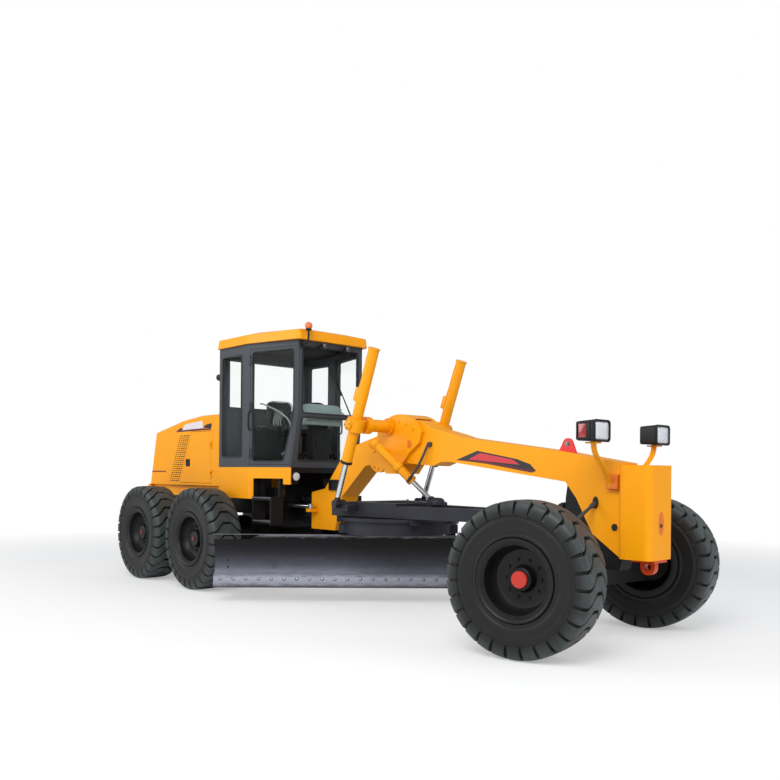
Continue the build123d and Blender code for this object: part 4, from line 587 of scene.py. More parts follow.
for side in (-1, 1):
    hole = ((0.0, 0.0), (0.0, 0.034), (0.0035, 0.034), (0.0035, 0.0))
    rim = ((0.0, 0.034), (0.006, 0.034), (0.006, 0.041), (0.0, 0.043))
    ports.append(turned(hole, (4.109, side * girder_half, 1.090), (0, side, 0), 32))
    port_rims.append(turned(rim, (4.109, side * girder_half, 1.090), (0, side, 0), 32, close=True))
    oval = [(0.032 * x, 0.058 * z) for x, z in arc((0, 0), 1.0, 0, 345, 24)]
    ports.append(slab(oval, (3.900, side * (girder_half + 0.001), 1.309), ahead, upward, 0.003,
                      0.001))
    foot, head = np.array((3.812, side * 0.790, 0.905)), np.array((3.902, side * 0.150, 1.303))
    share = np.array((0.0, 0.04, 0.08, 0.12, 0.55, 0.9, 0.94, 1.0))[:, None]
    links.append(tube(foot + share * (head - foot),
                      (0.016, 0.026, 0.026, 0.017, 0.019, 0.016, 0.024, 0.024)))
    lug = [(-0.035, 0.790), (0.035, 0.790), (0.030, 0.900)] + arc((0.0, 0.905), 0.030, 0, 180,
                                                                  9) + [(-0.030, 0.900)]
    for gap in (-0.020, 0.020):
        links.append(slab(lug, (3.812, side * 0.790 + gap, 0.0), ahead, upward, 0.007, 0.002))
# The ports are black discs and ovals: painted shade of the holes in the side plates.
mesh_piece("girder_ports", *joined(ports), hole_shade, "front", "black")
mesh_piece("girder_port_rims", *joined(port_rims), yellow, "front", "yellow")
mesh_piece("wheel_links", *joined(links), cast, "front", "black")
nose_slot = [(0.046 * x, 0.108 * z) for x, z in arc((0, 0), 1.0, 0, 345, 24)]
mesh_piece("nose_slot", *slab(nose_slot, (4.5005, -0.010, 1.140), leftward, upward, 0.002, 0.001),
           orange_and_painted_shade, "front", "yellow")
# The black pin is painted shade of the slot's dark centre.
mesh_piece("nose_slot_pin", *joined(stud_shapes([(4.5025, -0.012, 1.120)], (1, 0, 0), 0.018,
                                                0.006)),
           hole_shade, "front", "black")

stripe_black = paint("stripe_black", srgb(26, 24, 28), srgb(18, 17, 20), rough=(0.3, 0.4))
stripe_red = paint("stripe_red", srgb(205, 42, 58), srgb(190, 34, 48), rough=(0.3, 0.4))
stripe_dark = paint("stripe_dark_red", srgb(96, 18, 26), srgb(80, 14, 22), rough=(0.3, 0.4))
wedge = [(2.116, 1.716), (2.420, 1.812), (2.960, 1.720), (3.130, 1.668), (3.205, 1.600),
         (3.150, 1.583),
         (2.560, 1.672)]
red_field = [(2.300, 1.722), (2.465, 1.786), (2.900, 1.716), (3.000, 1.662), (2.560, 1.698)]
rise_line = [(2.560, 1.672), (2.116, 1.716), (2.300, 1.718), (2.560, 1.692), (3.060, 1.620),
             (3.205, 1.600),
             (3.150, 1.583)]
for name, outline, colour, stand in (("field", wedge, stripe_black, 0.0012),
                                     ("flash", red_field, stripe_red, 0.0024),
                                     ("edge", rise_line, stripe_dark, 0.0018)):
    shapes = [slab(outline, (0, side * girder_half, 0), ahead, upward, stand,
                   0.0004) for side in (1, -1)]
    mesh_piece("girder_stripe_" + name, *joined(shapes), colour, "front", "black")

# ---------------------------------------------------------------- head lamps
# Two black moulded pods on flat yellow bars: a ribbed clear lamp in front and a red marker
# lamp let into each outer flank. Each bar is bolted to a bracket in the corner beside the nose,
# its darker orange painted shade of that corner.
def case(sections, origin, along, side, corner_steps=5):
    """Rounded rectangles (distance, half width, half height, corner) carried along an axis."""
    along, side = np.asarray(along, float), np.asarray(side, float)
    up = np.cross(along, side)
    turn = np.concatenate([np.linspace(k * 90, k * 90 + 90, corner_steps) for k in range(4)])
    turn = np.radians(turn)
    sign = np.array([(1, 1), (-1, 1), (-1, -1), (1, -1)]).repeat(corner_steps, axis=0)
    sections = np.asarray(sections, float)
    distance, half, corner = sections[:, 0], sections[:, 1:3], sections[:, 3]
    core = np.maximum(half - corner[:, None], 0.0)
    flat = (sign * core[:, None, :]
            + corner[:, None, None] * np.stack((np.cos(turn), np.sin(turn)), axis=1))
    points = (np.asarray(origin, float) + distance[:, None, None] * along + flat[..., :1] * side
              + flat[..., 1:] * up)
    return points.reshape(-1, 3), grid_faces(len(sections), len(turn))


def shut_case(sections, origin, along, side):
    """A case whose two ends are closed."""
    ends = [(sections[end][0], 0, 0, 0) for end in (0, -1)]
    return case((ends[0], *sections, ends[1]), origin, along, side)


pod_black = paint("pod_plastic", srgb(24, 24, 28), srgb(14, 14, 17), rough=(0.34, 0.48),
                  grain=260.0, bump=0.2,
                  Specular_IOR_Level=0.3)
lens, tree, shader, output = new_material("clear_lens")
# The lens colour runs lighter and darker with its flutes: painted highlight and shade of the ribs.
flutes = add_node(tree, "ShaderNodeTexWave", Scale=34.0, Distortion=0.4, bands_direction="Y")
place = tree.nodes.new("ShaderNodeTexCoord")
link(tree, place, "Object", flutes, "Vector")
shade = blend(tree, srgb(176, 180, 188), srgb(244, 246, 250))
relief = add_node(tree, "ShaderNodeBump", Strength=0.5, Distance=0.002)
link(tree, flutes, "Fac", shade, 0)
link(tree, flutes, "Fac", relief, "Height")
link(tree, relief, "Normal", shader, "Normal")
link(tree, shade, 2, shader, "Base Color")
set_sockets(shader, Roughness=0.08, Coat_Weight=1.0)
red_lens = paint("red_lens", srgb(170, 36, 30), srgb(120, 20, 18), rough=(0.1, 0.2), scale=30.0,
                 Coat_Weight=1.0, Coat_Roughness=0.05)
pods, lenses, markers, bars, brackets = [], [], [], [], []
for side in (1, -1):
    middle = np.array((4.125, side * 0.510, 1.950))
    pods.append(shut_case(((-0.097, 0.100, 0.076, 0.014), (-0.088, 0.112, 0.086, 0.018),
                      (0.060, 0.121, 0.094, 0.026), (0.088, 0.125, 0.098, 0.030),
                           (0.097, 0.122, 0.095, 0.030),
                      (0.097, 0.108, 0.081, 0.020), (0.078, 0.104, 0.077, 0.018)),
                     middle, ahead, leftward))
    lenses.append(shut_case(((0.070, 0.104, 0.077, 0.018), (0.084, 0.104, 0.077, 0.018),
                        (0.091, 0.096, 0.069, 0.018), (0.094, 0.050, 0.036, 0.018)),
                       middle, ahead, leftward))
    # frame and lens of the marker lamp in the outer flank
    flank = middle + (-0.022, side * 0.110, 0.0)
    pods.append(case(((0.0, 0.074, 0.080, 0.010), (0.013, 0.074, 0.080, 0.010),
                      (0.015, 0.070, 0.076, 0.010),
                      (0.015, 0.060, 0.066, 0.008), (0.004, 0.060, 0.066, 0.008), (0.004, 0, 0, 0)),
                     flank, (0, side, 0), ahead))
    markers.append(shut_case(((0.003, 0.040, 0.060, 0.006), (0.010, 0.040, 0.060, 0.006),
                         (0.012, 0.035, 0.055, 0.006)), flank + (-0.012, 0.0, 0.0),
                        (0, side, 0), ahead))
    # flat bar: a ribbon of even width along its path
    path = bent(((4.075, side * 0.172, 1.440), (4.085, side * 0.190, 1.500),
                 (4.118, side * 0.345, 1.640),
                 (4.122, side * 0.490, 1.760), (4.125, side * 0.508, 1.860)))
    run = np.gradient(path, axis=0)
    run /= np.linalg.norm(run, axis=1)[:, None]
    wide = np.array(ahead) - run * run[:, :1]
    wide /= np.linalg.norm(wide, axis=1)[:, None]
    thick = np.cross(run, wide)
    ring = np.array(((1, -1), (1, 1), (-1, 1), (-1, -1))) * (0.026, 0.006)
    rings = path[:, None] + ring[None, :, :1] * wide[:, None] + ring[None, :, 1:] * thick[:, None]
    rings = np.concatenate((rings[:1].mean(axis=1, keepdims=True).repeat(4, axis=1), rings,
                            rings[-1:].mean(axis=1, keepdims=True).repeat(4, axis=1)))
    bars.append((rings.reshape(-1, 3), grid_faces(len(rings), 4)))
    bars.append(shut_case(((0.0, 0.060, 0.045, 0.010), (0.012, 0.060, 0.045, 0.010)),
                     (4.125, side * 0.510, 1.842), upward, ahead))
    brackets.append(shut_case(((0.0, 0.064, 0.070, 0.006), (0.052, 0.058, 0.064, 0.006),
                               (0.058, 0.052, 0.058, 0.006)), (4.105, side * girder_half, 1.500),
                              (0, side, 0), ahead))
    bars.extend(stud_shapes([(4.081, side * 0.190, 1.462), (4.081, side * 0.190, 1.500)],
                            (0, side, 0), 0.011, 0.009))
mesh_piece("lamp_pods", *joined(pods), pod_black, "front", "black", ("head_lamps",), sharp=30.0)
mesh_piece("lamp_lenses", *joined(lenses), lens, "front", "glass")
mesh_piece("lamp_markers", *joined(markers), red_lens, "front", "red")
mesh_piece("lamp_bars", *joined(bars), yellow, "front", "yellow", sharp=30.0)
# The lamp brackets are yellow parts painted darker orange: painted shade of the corner between girder
# and nose.
mesh_piece("lamp_brackets", *joined(brackets), orange_and_painted_shade, "front", "yellow")

# ---------------------------------------------------------------- hood fittings
# Pressed black latches on the side doors, dark mesh behind the vent slots, a tail seam
# and plain striped panels.
def vent_line(height):
    """X of the slanted front line of the vent strip at a height."""
    return -2.988 - (2.145 - height) * 0.4573


hood_half = 0.540
mesh_black = paint("vent_mesh", srgb(16, 15, 14), srgb(6, 6, 6), rough=(0.7, 0.9), scale=60.0,
                   grain=900.0,
                   bump=0.8)
seam_brown = paint("seam_shadow", srgb(140, 58, 14), srgb(110, 44, 10), rough=(0.5, 0.6))
panel_white = paint("plain_panel", srgb(222, 214, 219), srgb(210, 203, 208), rough=(0.3, 0.4))
backing, louvres, seams, plates, fields, tips = [], [], [], [], [], []
for side, name in ((1, "left"), (-1, "right")):
    low, high = 1.400, 2.150
    strip = [(vent_line(z) - shift, z) for z, shift in
             ((low, 0.240), (low, 0.025), (high, 0.025), (high, 0.240))]
    backing.append(slab(strip, (0, side * 0.5370, 0), ahead, upward, 0.0015, 0.0005))
    for row in range(23):  # pressed lips: between the open slots, and two more columns beside them
        lip_z = 1.425 + 0.031 * row
        for column in range(5):
            if row % 2 or column > 2:
                lip_x = vent_line(lip_z) - (column + 0.97) * 0.064
                louvres.append(slab([(lip_x - 0.021, lip_z - 0.006), (lip_x + 0.021, lip_z - 0.006),
                                     (lip_x + 0.017, lip_z + 0.006),
                                     (lip_x - 0.017, lip_z + 0.006)], (0, side * hood_half, 0),
                                    ahead, upward, 0.0014, 0.0005))
    seams.append(slab([(-4.262, 1.556), (-3.790, 1.556), (-3.790, 1.576), (-4.262, 1.576)],
                      (0, side * hood_half, 0), ahead, upward, 0.0015, 0.0005))
    fields.append(slab([(-3.475, 2.172), (-2.420, 2.176), (-2.385, 2.232), (-2.470, 2.196),
                        (-3.300, 2.228),
                        (-3.345, 2.226)], (0, side * hood_half, 0), ahead, upward, 0.0012, 0.0004))
    plates.append(slab([(-3.270, 2.196), (-2.640, 2.206), (-2.660, 2.318), (-3.180, 2.282)],
                       (0, side * hood_half, 0), ahead, upward, 0.0022, 0.0004))
    tips.append(slab([(-2.640, 2.214), (-2.440, 2.196), (-2.385, 2.240), (-2.400, 2.272),
                      (-2.560, 2.254)],
                     (0, side * hood_half, 0), ahead, upward, 0.0018, 0.0004))
    latch = np.array((-3.085, side * hood_half, 1.700))
    frame_part = shut_case(((0.0, 0.062, 0.056, 0.012), (0.004, 0.062, 0.056, 0.012),
                            (0.006, 0.058, 0.052, 0.012),
                       (0.006, 0.050, 0.044, 0.008), (0.0015, 0.048, 0.042, 0.008)),
                      latch, (0, side, 0), ahead)
    paddle = shut_case(((0.001, 0.030, 0.034, 0.006), (0.007, 0.028, 0.032, 0.006),
                        (0.008, 0.024, 0.028, 0.006)), latch + (0.010, 0, 0.002), (0, side, 0),
                       ahead)
    keyhole = turned(((0.0, 0.0), (0.0, 0.008), (0.007, 0.008), (0.008, 0.006), (0.008, 0.0)),
                     latch + (-0.036, 0, 0.0), (0, side, 0), 16)
    mesh_piece("engine_latch_" + name, *joined([frame_part, paddle, keyhole]), pod_black,
               "engine_door_" + name, "black", sharp=30.0)
mesh_piece("vent_backing", *joined(backing), mesh_black, "rear", "black")
mesh_piece("vent_lips", *joined(louvres), mesh_black, "rear", "black")
mesh_piece("hood_seams", *joined(seams), seam_brown, "rear", "yellow")
mesh_piece("hood_stripe_field", *joined(fields), stripe_dark, "rear", "black")
mesh_piece("hood_plain_panel", *joined(plates), panel_white, "rear", "yellow")
mesh_piece("hood_stripe_tips", *joined(tips), stripe_black, "rear", "black")

# ---------------------------------------------------------------- window seals and cab trim
# Black rubber seals round the panes, pull handles on the doors, a wiper on the windscreen.
def pane_corners(node, normal):
    """The corners of a flat convex pane in order round its middle, as seen along its normal."""
    points = np.array([vertex.co for vertex in nodes[node].data.vertices], float)
    normal = np.asarray(normal, float)
    along = np.cross((0.0, 0.0, 1.0), normal)
    along /= np.linalg.norm(along)
    lift = np.cross(normal, along)
    flat = np.unique(np.round(np.stack((points @ along, points @ lift), axis=1), 4), axis=0)
    middle = flat.mean(axis=0)
    flat = flat[np.argsort(np.arctan2(flat[:, 1] - middle[1], flat[:, 0] - middle[0]))]
    depth = (points @ normal).mean()
    return flat[:, :1] * along + flat[:, 1:] * lift + depth * normal


def seal(corners, normal, outside, width=0.012, proud=0.006):
    """A rubber bead round an opening: a small rectangle carried round rounded corners."""
    corners, normal = np.asarray(corners, float), np.asarray(normal, float)
    before, after = np.roll(corners, 1, axis=0), np.roll(corners, -1, axis=0)
    to_before = (before - corners) / np.linalg.norm(before - corners, axis=1)[:, None]
    to_after = (after - corners) / np.linalg.norm(after - corners, axis=1)[:, None]
    share = np.linspace(0.0, 1.0, 6)[None, :, None]
    bend = 0.045
    path = ((1 - share) ** 2 * (corners + bend * to_before)[:, None]
            + 2 * share * (1 - share) * corners[:, None]
            + share ** 2 * (corners + bend * to_after)[:, None]).reshape(-1, 3)
    run = np.roll(path, -1, axis=0) - np.roll(path, 1, axis=0)
    run /= np.linalg.norm(run, axis=1)[:, None]
    across = np.cross(run, normal)
    ring = np.array(((-1, -1), (-0.6, 1), (0.6, 1), (1, -1))) * (width, proud)
    rings = (path[:, None] + ring[None, :, :1] * across[:, None]
             + (ring[None, :, 1:] + outside) * normal)
    return rings.reshape(-1, 3), grid_faces(len(path), 4, close_rows=True)


seal_black = paint("seal_rubber", srgb(24, 25, 27), srgb(14, 15, 17), rough=(0.5, 0.65),
                   grain=300.0, bump=0.2)
fixed = []
for side in (1, -1):
    fixed.append(seal([(-1.733, side * 0.752, 1.770), (-1.247, side * 0.752, 1.770),
                       (-1.247, side * 0.752, 3.120),
                       (-1.733, side * 0.752, 3.120)], (0, side, 0), 0.0))
fixed.append(seal([(-1.815, 0.620, 2.460), (-1.815, -0.620, 2.460), (-1.815, -0.620, 3.120),
                   (-1.815, 0.620, 3.120)],
                  (-1, 0, 0), 0.0))
fixed.append(seal([(-0.281, -0.455, 2.325), (-0.281, 0.455, 2.325), (-0.281, 0.455, 3.180),
                   (-0.281, -0.455, 3.180)],
                  (1, 0, 0), 0.0))
lean = np.array((0.9880, 0.0, -0.1546))
foot_x = -0.283 - (2.300 - 1.722) * 0.1576
fixed.append(seal([(foot_x + 0.002, -0.455, 1.722), (foot_x + 0.002, 0.455, 1.722),
                   (-0.285, 0.455, 2.275),
                   (-0.285, -0.455, 2.275)], lean, 0.0))
mesh_piece("window_seals", *joined(fixed), seal_black, "rear", "black", sharp=30.0)
for side, name in ((1, "left"), (-1, "right")):
    wall = np.array((0.792, side * -0.222, 0.0))
    wall /= np.linalg.norm(wall)
    normal = np.array((-wall[1] * side, wall[0] * side, 0.0))
    normal = normal if normal[1] * side > 0 else -normal
    corners = pane_corners("door_glass_" + name, normal)
    mesh_piece("door_seal_" + name, *seal(corners, normal, 0.020, 0.012, 0.005), seal_black,
               "door_" + name, "black",
               sharp=30.0)
    rear_edge = corners[np.argmin(corners[:, 0])] * (1, 1, 0) + wall * -0.030
    handle = [rear_edge + normal * depth + (0, 0, z) for depth, z in
              ((0.020, 2.120), (0.062, 2.130), (0.066, 2.180), (0.066, 2.300), (0.062, 2.350),
               (0.020, 2.360))]
    mesh_piece("door_handle_" + name, *tube(bent(handle, 2), 0.011, 12), pod_black, "door_" + name,
               "black")
wiper = [tube(((-0.262, 0.300, 2.330), (-0.250, 0.300, 2.340), (-0.250, 0.060, 2.780)),
              (0.012, 0.010, 0.006), 10),
         shut_case(((-0.220, 0.004, 0.010, 0.002), (0.220, 0.004, 0.010, 0.002)),
              (-0.262, 0.060, 2.780), (0.0, -0.45, 0.893), ahead)]
mesh_piece("wiper", *joined(wiper), pod_black, "rear", "black")

# ---------------------------------------------------------------- lamps and beacon of the cab
# Two small work lamps over the windscreen, two at the rear, a round silver lamp at each front
# foot, and the ribbed orange beacon on its stalk.
def round_lamp(place, axis, radius, length):
    """A bowl with a rolled bezel, turned round the lamp's axis."""
    bowl = ((-length, 0.0), (-length, 0.45 * radius), (-0.75 * length, 0.72 * radius),
            (-0.3 * length, 0.94 * radius),
            (-0.004, radius), (0.004, radius), (0.007, 0.96 * radius), (0.006, 0.88 * radius),
            (-0.004, 0.86 * radius),
            (-0.004, 0.0))
    glass = ((-0.004, 0.0), (-0.004, 0.85 * radius), (0.002, 0.85 * radius), (0.008, 0.55 * radius),
             (0.010, 0.0))
    return turned(bowl, place, axis, 40), turned(glass, place, axis, 40)


bowls, glasses, smoked = [], [], []
for place, axis, radius, length in (((-0.165, -0.190, 3.192), (1, 0, 0), 0.046, 0.085),
                                    ((-0.165, 0.190, 3.192), (1, 0, 0), 0.046, 0.085),
                                    ((-1.930, -0.690, 2.880), (-1, 0, 0), 0.046, 0.085),
                                    ((-1.930, 0.690, 2.880), (-1, 0, 0), 0.046, 0.085),
                                    ((-0.334, -0.501, 1.514), (1, 0, 0), 0.060, 0.055),
                                    ((-0.334, 0.501, 1.514), (1, 0, 0), 0.060, 0.055)):
    bowl, glass = round_lamp(place, axis, radius, length)
    bowls.append(bowl)
    (smoked if length > 0.06 else glasses).append(glass)
    wall = -0.283 if axis[0] > 0 else -1.813
    if length > 0.06:
        bowls.append(tube(((wall, place[1], place[2]),
                           (place[0] - axis[0] * 0.06, place[1], place[2])), 0.014, 12))
mesh_piece("cab_lamp_bowls", *joined(bowls), pod_black, "rear", "black", ("cab_lamps",), sharp=30.0)
mesh_piece("cab_lamp_glasses", *joined(glasses), lens, "rear", "glass")
smoked_glass = paint("smoked_glass", srgb(58, 62, 66), srgb(36, 40, 44), rough=(0.06, 0.12),
                     Coat_Weight=1.0)
mesh_piece("work_lamp_glasses", *joined(smoked), smoked_glass, "rear", "glass")

amber, tree, shader, output = new_material("amber_lens")
effect = skin_node(tree, scale=30.0, bump=0.2)
shade = blend(tree, srgb(216, 96, 30), srgb(238, 122, 48))
link(tree, effect, "Mottle", shade, 0)
link(tree, effect, "Normal", shader, "Normal")
link(tree, shade, 2, shader, "Base Color")
set_sockets(shader, Roughness=0.18, Coat_Weight=0.8)
beacon_low, beacon_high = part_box("beacon")
beacon_x, beacon_y = beacon_high[0] - 0.010, (beacon_low[1] + beacon_high[1]) / 2 + 0.030
top = beacon_high[2] - 0.055
dome_turn = np.radians(np.linspace(-52, 90, 20))
dome = [(top - 0.048 + 0.048 * math.sin(a), 0.048 * math.cos(a) * (1.0 + 0.02 * (-1) ** k)) for k,
        a in enumerate(dome_turn)]
mesh_piece("beacon_dome", *turned([(top - 0.088, 0.0)] + dome, (beacon_x, beacon_y, 0), upward, 40),
           amber, "rear",
           "orange", ("beacon",))
stalk = [tube(bent(((-0.283, beacon_y, beacon_low[2] + 0.05),
                    (-0.230, beacon_y, beacon_low[2] + 0.05),
                    (beacon_x, beacon_y, beacon_low[2] + 0.07), (beacon_x, beacon_y, top - 0.092)),
                   2), 0.013, 14),
         turned(((-0.006, 0.0), (-0.006, 0.036), (0.004, 0.040), (0.016, 0.038), (0.018, 0.0)),
                (beacon_x, beacon_y, top - 0.100), upward, 40),
         shut_case(((0.0, 0.020, 0.050, 0.004), (0.014, 0.020, 0.050, 0.004)),
              (-0.283, beacon_y, beacon_low[2] + 0.052), ahead, leftward)]
mesh_piece("beacon_stalk", *joined(stalk), pod_black, "rear", "black")

# ---------------------------------------------------------------- cab interior
# Teal moulded dash and back panel, dark pedestal and consoles, a black three-spoke wheel on its
# column, two groups of levers with black knobs, pedals, and a grab rail inside each door.
teal = paint("teal_moulding", srgb(132, 150, 148), srgb(112, 129, 127), rough=(0.5, 0.62),
             grain=420.0, bump=0.35)
# A much darker copy of the teal moulding for the pedestal, consoles and headliner: partly their
# darker trim colour, partly painted shade inside the cab.
teal_dark_and_shaded = paint("teal_trim", srgb(14, 22, 23), srgb(8, 14, 15), rough=(0.6, 0.75), grain=160.0,
                  bump=0.12,
                  Specular_IOR_Level=0.2)
lever_grey = paint("lever_grey", srgb(128, 142, 141), srgb(104, 117, 116), rough=(0.35, 0.5))
grip_black = paint("grip_rubber", srgb(24, 25, 26), srgb(14, 15, 16), rough=(0.45, 0.6),
                   grain=500.0, bump=0.3)
floor_z = 1.660
dash_shape = [shut_case(((0.0, 0.118, 0.290, 0.060), (0.020, 0.128, 0.300, 0.070),
                         (0.200, 0.122, 0.290, 0.070),
                 (0.262, 0.090, 0.262, 0.070), (0.275, 0.050, 0.220, 0.050)),
                (-0.500, 0.0, 2.190), upward, ahead)]
pedestal = [shut_case(((0.0, 0.098, 0.138, 0.030), (0.300, 0.090, 0.128, 0.030),
                       (0.560, 0.084, 0.120, 0.030),
                 (0.580, 0.070, 0.100, 0.030)), (-0.560, 0.0, floor_z), upward, ahead)]
mesh_piece("dash", *joined(dash_shape), teal, "rear", "plastic", ("cab_controls",), sharp=30.0)
trim = pedestal + [shut_case(((0.0, 0.262, 0.068, 0.020), (0.440, 0.264, 0.069, 0.030),
                              (0.520, 0.262, 0.068, 0.030),
              (0.535, 0.240, 0.052, 0.030)), (-1.130, side * 0.400, floor_z), upward, ahead)
        for side in (1, -1)]
mesh_piece("consoles", *joined(trim), teal_dark_and_shaded, "rear", "plastic")
wall_panel = slab([(-0.700, 1.700), (0.700, 1.700), (0.700, 2.420), (-0.700, 2.420)],
                  (-1.738, 0, 0), leftward, upward,
                  0.004, 0.002)
teal_middle = paint("teal_panel", srgb(62, 76, 76), srgb(50, 62, 62), rough=(0.55, 0.7),
                    grain=160.0, bump=0.12)
mesh_piece("cab_back_panel", *wall_panel, teal_middle, "rear", "plastic")
column_low, column_high = np.array((-0.640, 0.0, 2.140)), np.array((-0.743, 0.0, 2.420))
lean = (column_high - column_low) / np.linalg.norm(column_high - column_low)
turn = np.arange(64) * 2 * math.pi / 64
wheel_side = np.cross(lean, leftward)
rim_path = column_high + 0.192 * (np.cos(turn)[:, None] * np.array(leftward)
                                  + np.sin(turn)[:, None] * wheel_side)
rim_cross = np.arange(14) * 2 * math.pi / 14
spoke = (rim_path - column_high) / 0.192
rim = rim_path[:, None] + 0.014 * (np.cos(rim_cross)[:, None] * spoke[:, None]
                                   + np.sin(rim_cross)[:, None] * lean)
wheel = [(rim.reshape(-1, 3), grid_faces(64, 14, close_rows=True)),
         turned(((-0.012, 0.0), (-0.012, 0.046), (0.010, 0.044), (0.018, 0.030), (0.018, 0.0)),
                column_high, lean, 32)]
for degrees in (90, 210, 330):
    turn = math.radians(degrees)
    reach = math.cos(turn) * np.array(leftward) + math.sin(turn) * wheel_side
    wheel.append(tube((column_high + reach * 0.03, column_high + reach * 0.19), (0.011, 0.009), 10))
wheel.append(tube((column_low, column_high), (0.034, 0.026), 20))
levers = []
for side in (1, -1):
    for number in range(4):
        foot = np.array((-1.000 + 0.055 * number, side * 0.400, 2.190))
        head = foot + (0.030, side * -0.010, 0.190)
        levers.append(tube(bent((foot, foot + (-0.012, 0.0, 0.060), head - (0.006, 0.0, 0.050),
                                 head), 2), 0.0075, 10))
        knob = turned(((-0.020, 0.0), (-0.018, 0.010), (-0.004, 0.017), (0.010, 0.016),
                       (0.018, 0.009), (0.020, 0.0)),
                      head, upward, 16)
        wheel.append(knob)
for y in (-0.230, 0.210):
    wheel.append(shut_case(((0.0, 0.060, 0.036, 0.008), (0.012, 0.060, 0.036, 0.008)),
                      (-0.530, y, 1.780), (-0.8, 0.0, 0.6), (0.6, 0.0, 0.8)))
    wheel.append(tube(((-0.500, y, floor_z), (-0.520, y, 1.780)), 0.010, 10))
for side, name in ((1, "left"), (-1, "right")):  # the grab rail inside each door
    rail = [(x, side * (0.747 - cab_taper * (x - cab_post_x) - inset), z) for x, z, inset in
            ((-0.915, 2.460, 0.030), (-0.905, 2.458, 0.085), (-0.640, 2.345, 0.085),
             (-0.480, 2.225, 0.085),
             (-0.475, 2.080, 0.085), (-0.550, 1.830, 0.085), (-0.560, 1.800, 0.030))]
    mesh_piece("door_rail_" + name, *tube(bent(rail), 0.0105, 12), lever_grey, "door_" + name,
               "plastic")
mesh_piece("controls", *joined(wheel), grip_black, "rear", "plastic")
mesh_piece("levers", *joined(levers), lever_grey, "rear", "plastic")
bellows = [(0.012 * k, 0.150 - 0.003 * k + 0.012 * (k % 2)) for k in range(32)]
mesh_piece("seat_suspension", *case([(0.0, 0, 0, 0)] + [(d, h, h * 1.1, 0.03) for d, h in bellows]
                                    + [(0.392, 0.16, 0.176, 0.03), (0.400, 0.16, 0.176, 0.03),
                                       (0.400, 0, 0, 0)],
                                    (-1.195, 0.0, floor_z), upward, ahead), grip_black, "rear",
           "plastic",
           ("seat_base",), sharp=30.0)

# ---------------------------------------------------------------- seat
# Two foam pads covered in dark woven cloth with vinyl edges. Each pad is swollen by a short cloth
# simulation, then its sewn channels are pressed in and a piping is laid round it.
def swollen(points, faces, voxel, pressure, cap):
    """A closed form remeshed in even cells and blown up a little by cloth pressure, up to cap."""
    pad = bpy.data.objects.new("pad_start", closed_mesh("pad_start", points, faces))
    bpy.context.scene.collection.objects.link(pad)
    cells = pad.modifiers.new("cells", "REMESH")
    cells.mode = "VOXEL"
    cells.voxel_size = voxel
    bpy.context.view_layer.update()
    even = bpy.data.meshes.new_from_object(pad.evaluated_get(bpy.context.evaluated_depsgraph_get()))
    pad.modifiers.clear()
    pad.data = even
    rest = np.array([vertex.co for vertex in even.vertices], float)
    cloth = pad.modifiers.new("cloth", "CLOTH")
    cloth.settings.use_pressure = True
    cloth.settings.uniform_pressure_force = pressure
    cloth.settings.effector_weights.gravity = 0.0
    cloth.point_cache.frame_start = 1
    cloth.point_cache.frame_end = 20
    for number in range(1, 21):
        bpy.context.scene.frame_set(number)
    blown = pad.evaluated_get(bpy.context.evaluated_depsgraph_get())
    moved = np.array([vertex.co for vertex in blown.data.vertices], float) - rest
    length = np.linalg.norm(moved, axis=1)
    rest = rest + moved * np.minimum(1.0, cap / np.maximum(length, 1e-9))[:, None]
    pad.modifiers.clear()
    bpy.context.scene.frame_set(1)
    faces = [tuple(face.vertices) for face in even.polygons]
    bpy.data.objects.remove(pad)
    return rest, faces


cloth_grey, tree, shader, output = new_material("seat_cloth")
place = tree.nodes.new("ShaderNodeTexCoord")
warp = add_node(tree, "ShaderNodeTexWave", Scale=120.0, bands_direction="Y", Distortion=0.3)
weft = add_node(tree, "ShaderNodeTexWave", Scale=120.0, bands_direction="DIAGONAL", Distortion=0.3)
weave = add_node(tree, "ShaderNodeMath", operation="MULTIPLY")
tint = blend(tree, srgb(8, 13, 14), srgb(28, 38, 38))
relief = add_node(tree, "ShaderNodeBump", Strength=0.5, Distance=0.001)
for wave in (warp, weft):
    link(tree, place, "Object", wave, "Vector")
link(tree, warp, "Fac", weave, 0)
link(tree, weft, "Fac", weave, 1)
link(tree, weave, 0, tint, 0)
link(tree, weave, 0, relief, "Height")
link(tree, tint, 2, shader, "Base Color")
link(tree, relief, "Normal", shader, "Normal")
set_sockets(shader, Roughness=0.85, Sheen_Weight=0.1, Specular_IOR_Level=0.2)
seat_low, seat_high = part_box("seat")
pads = (("seat_cushion", shut_case(((0.012, 0.190, 0.205, 0.05), (0.030, 0.215, 0.232, 0.06),
                               (0.090, 0.217, 0.234, 0.07), (0.112, 0.190, 0.205, 0.06)),
                              (-1.160, 0.0, 2.060), upward, ahead), 2, 0),
        ("seat_back", shut_case(((0.012, 0.185, 0.205, 0.06), (0.030, 0.205, 0.235, 0.07),
                            (0.085, 0.205, 0.235, 0.08), (0.108, 0.180, 0.205, 0.07)),
                           (-1.525, 0.0, 2.330), ahead, leftward), 0, 2))
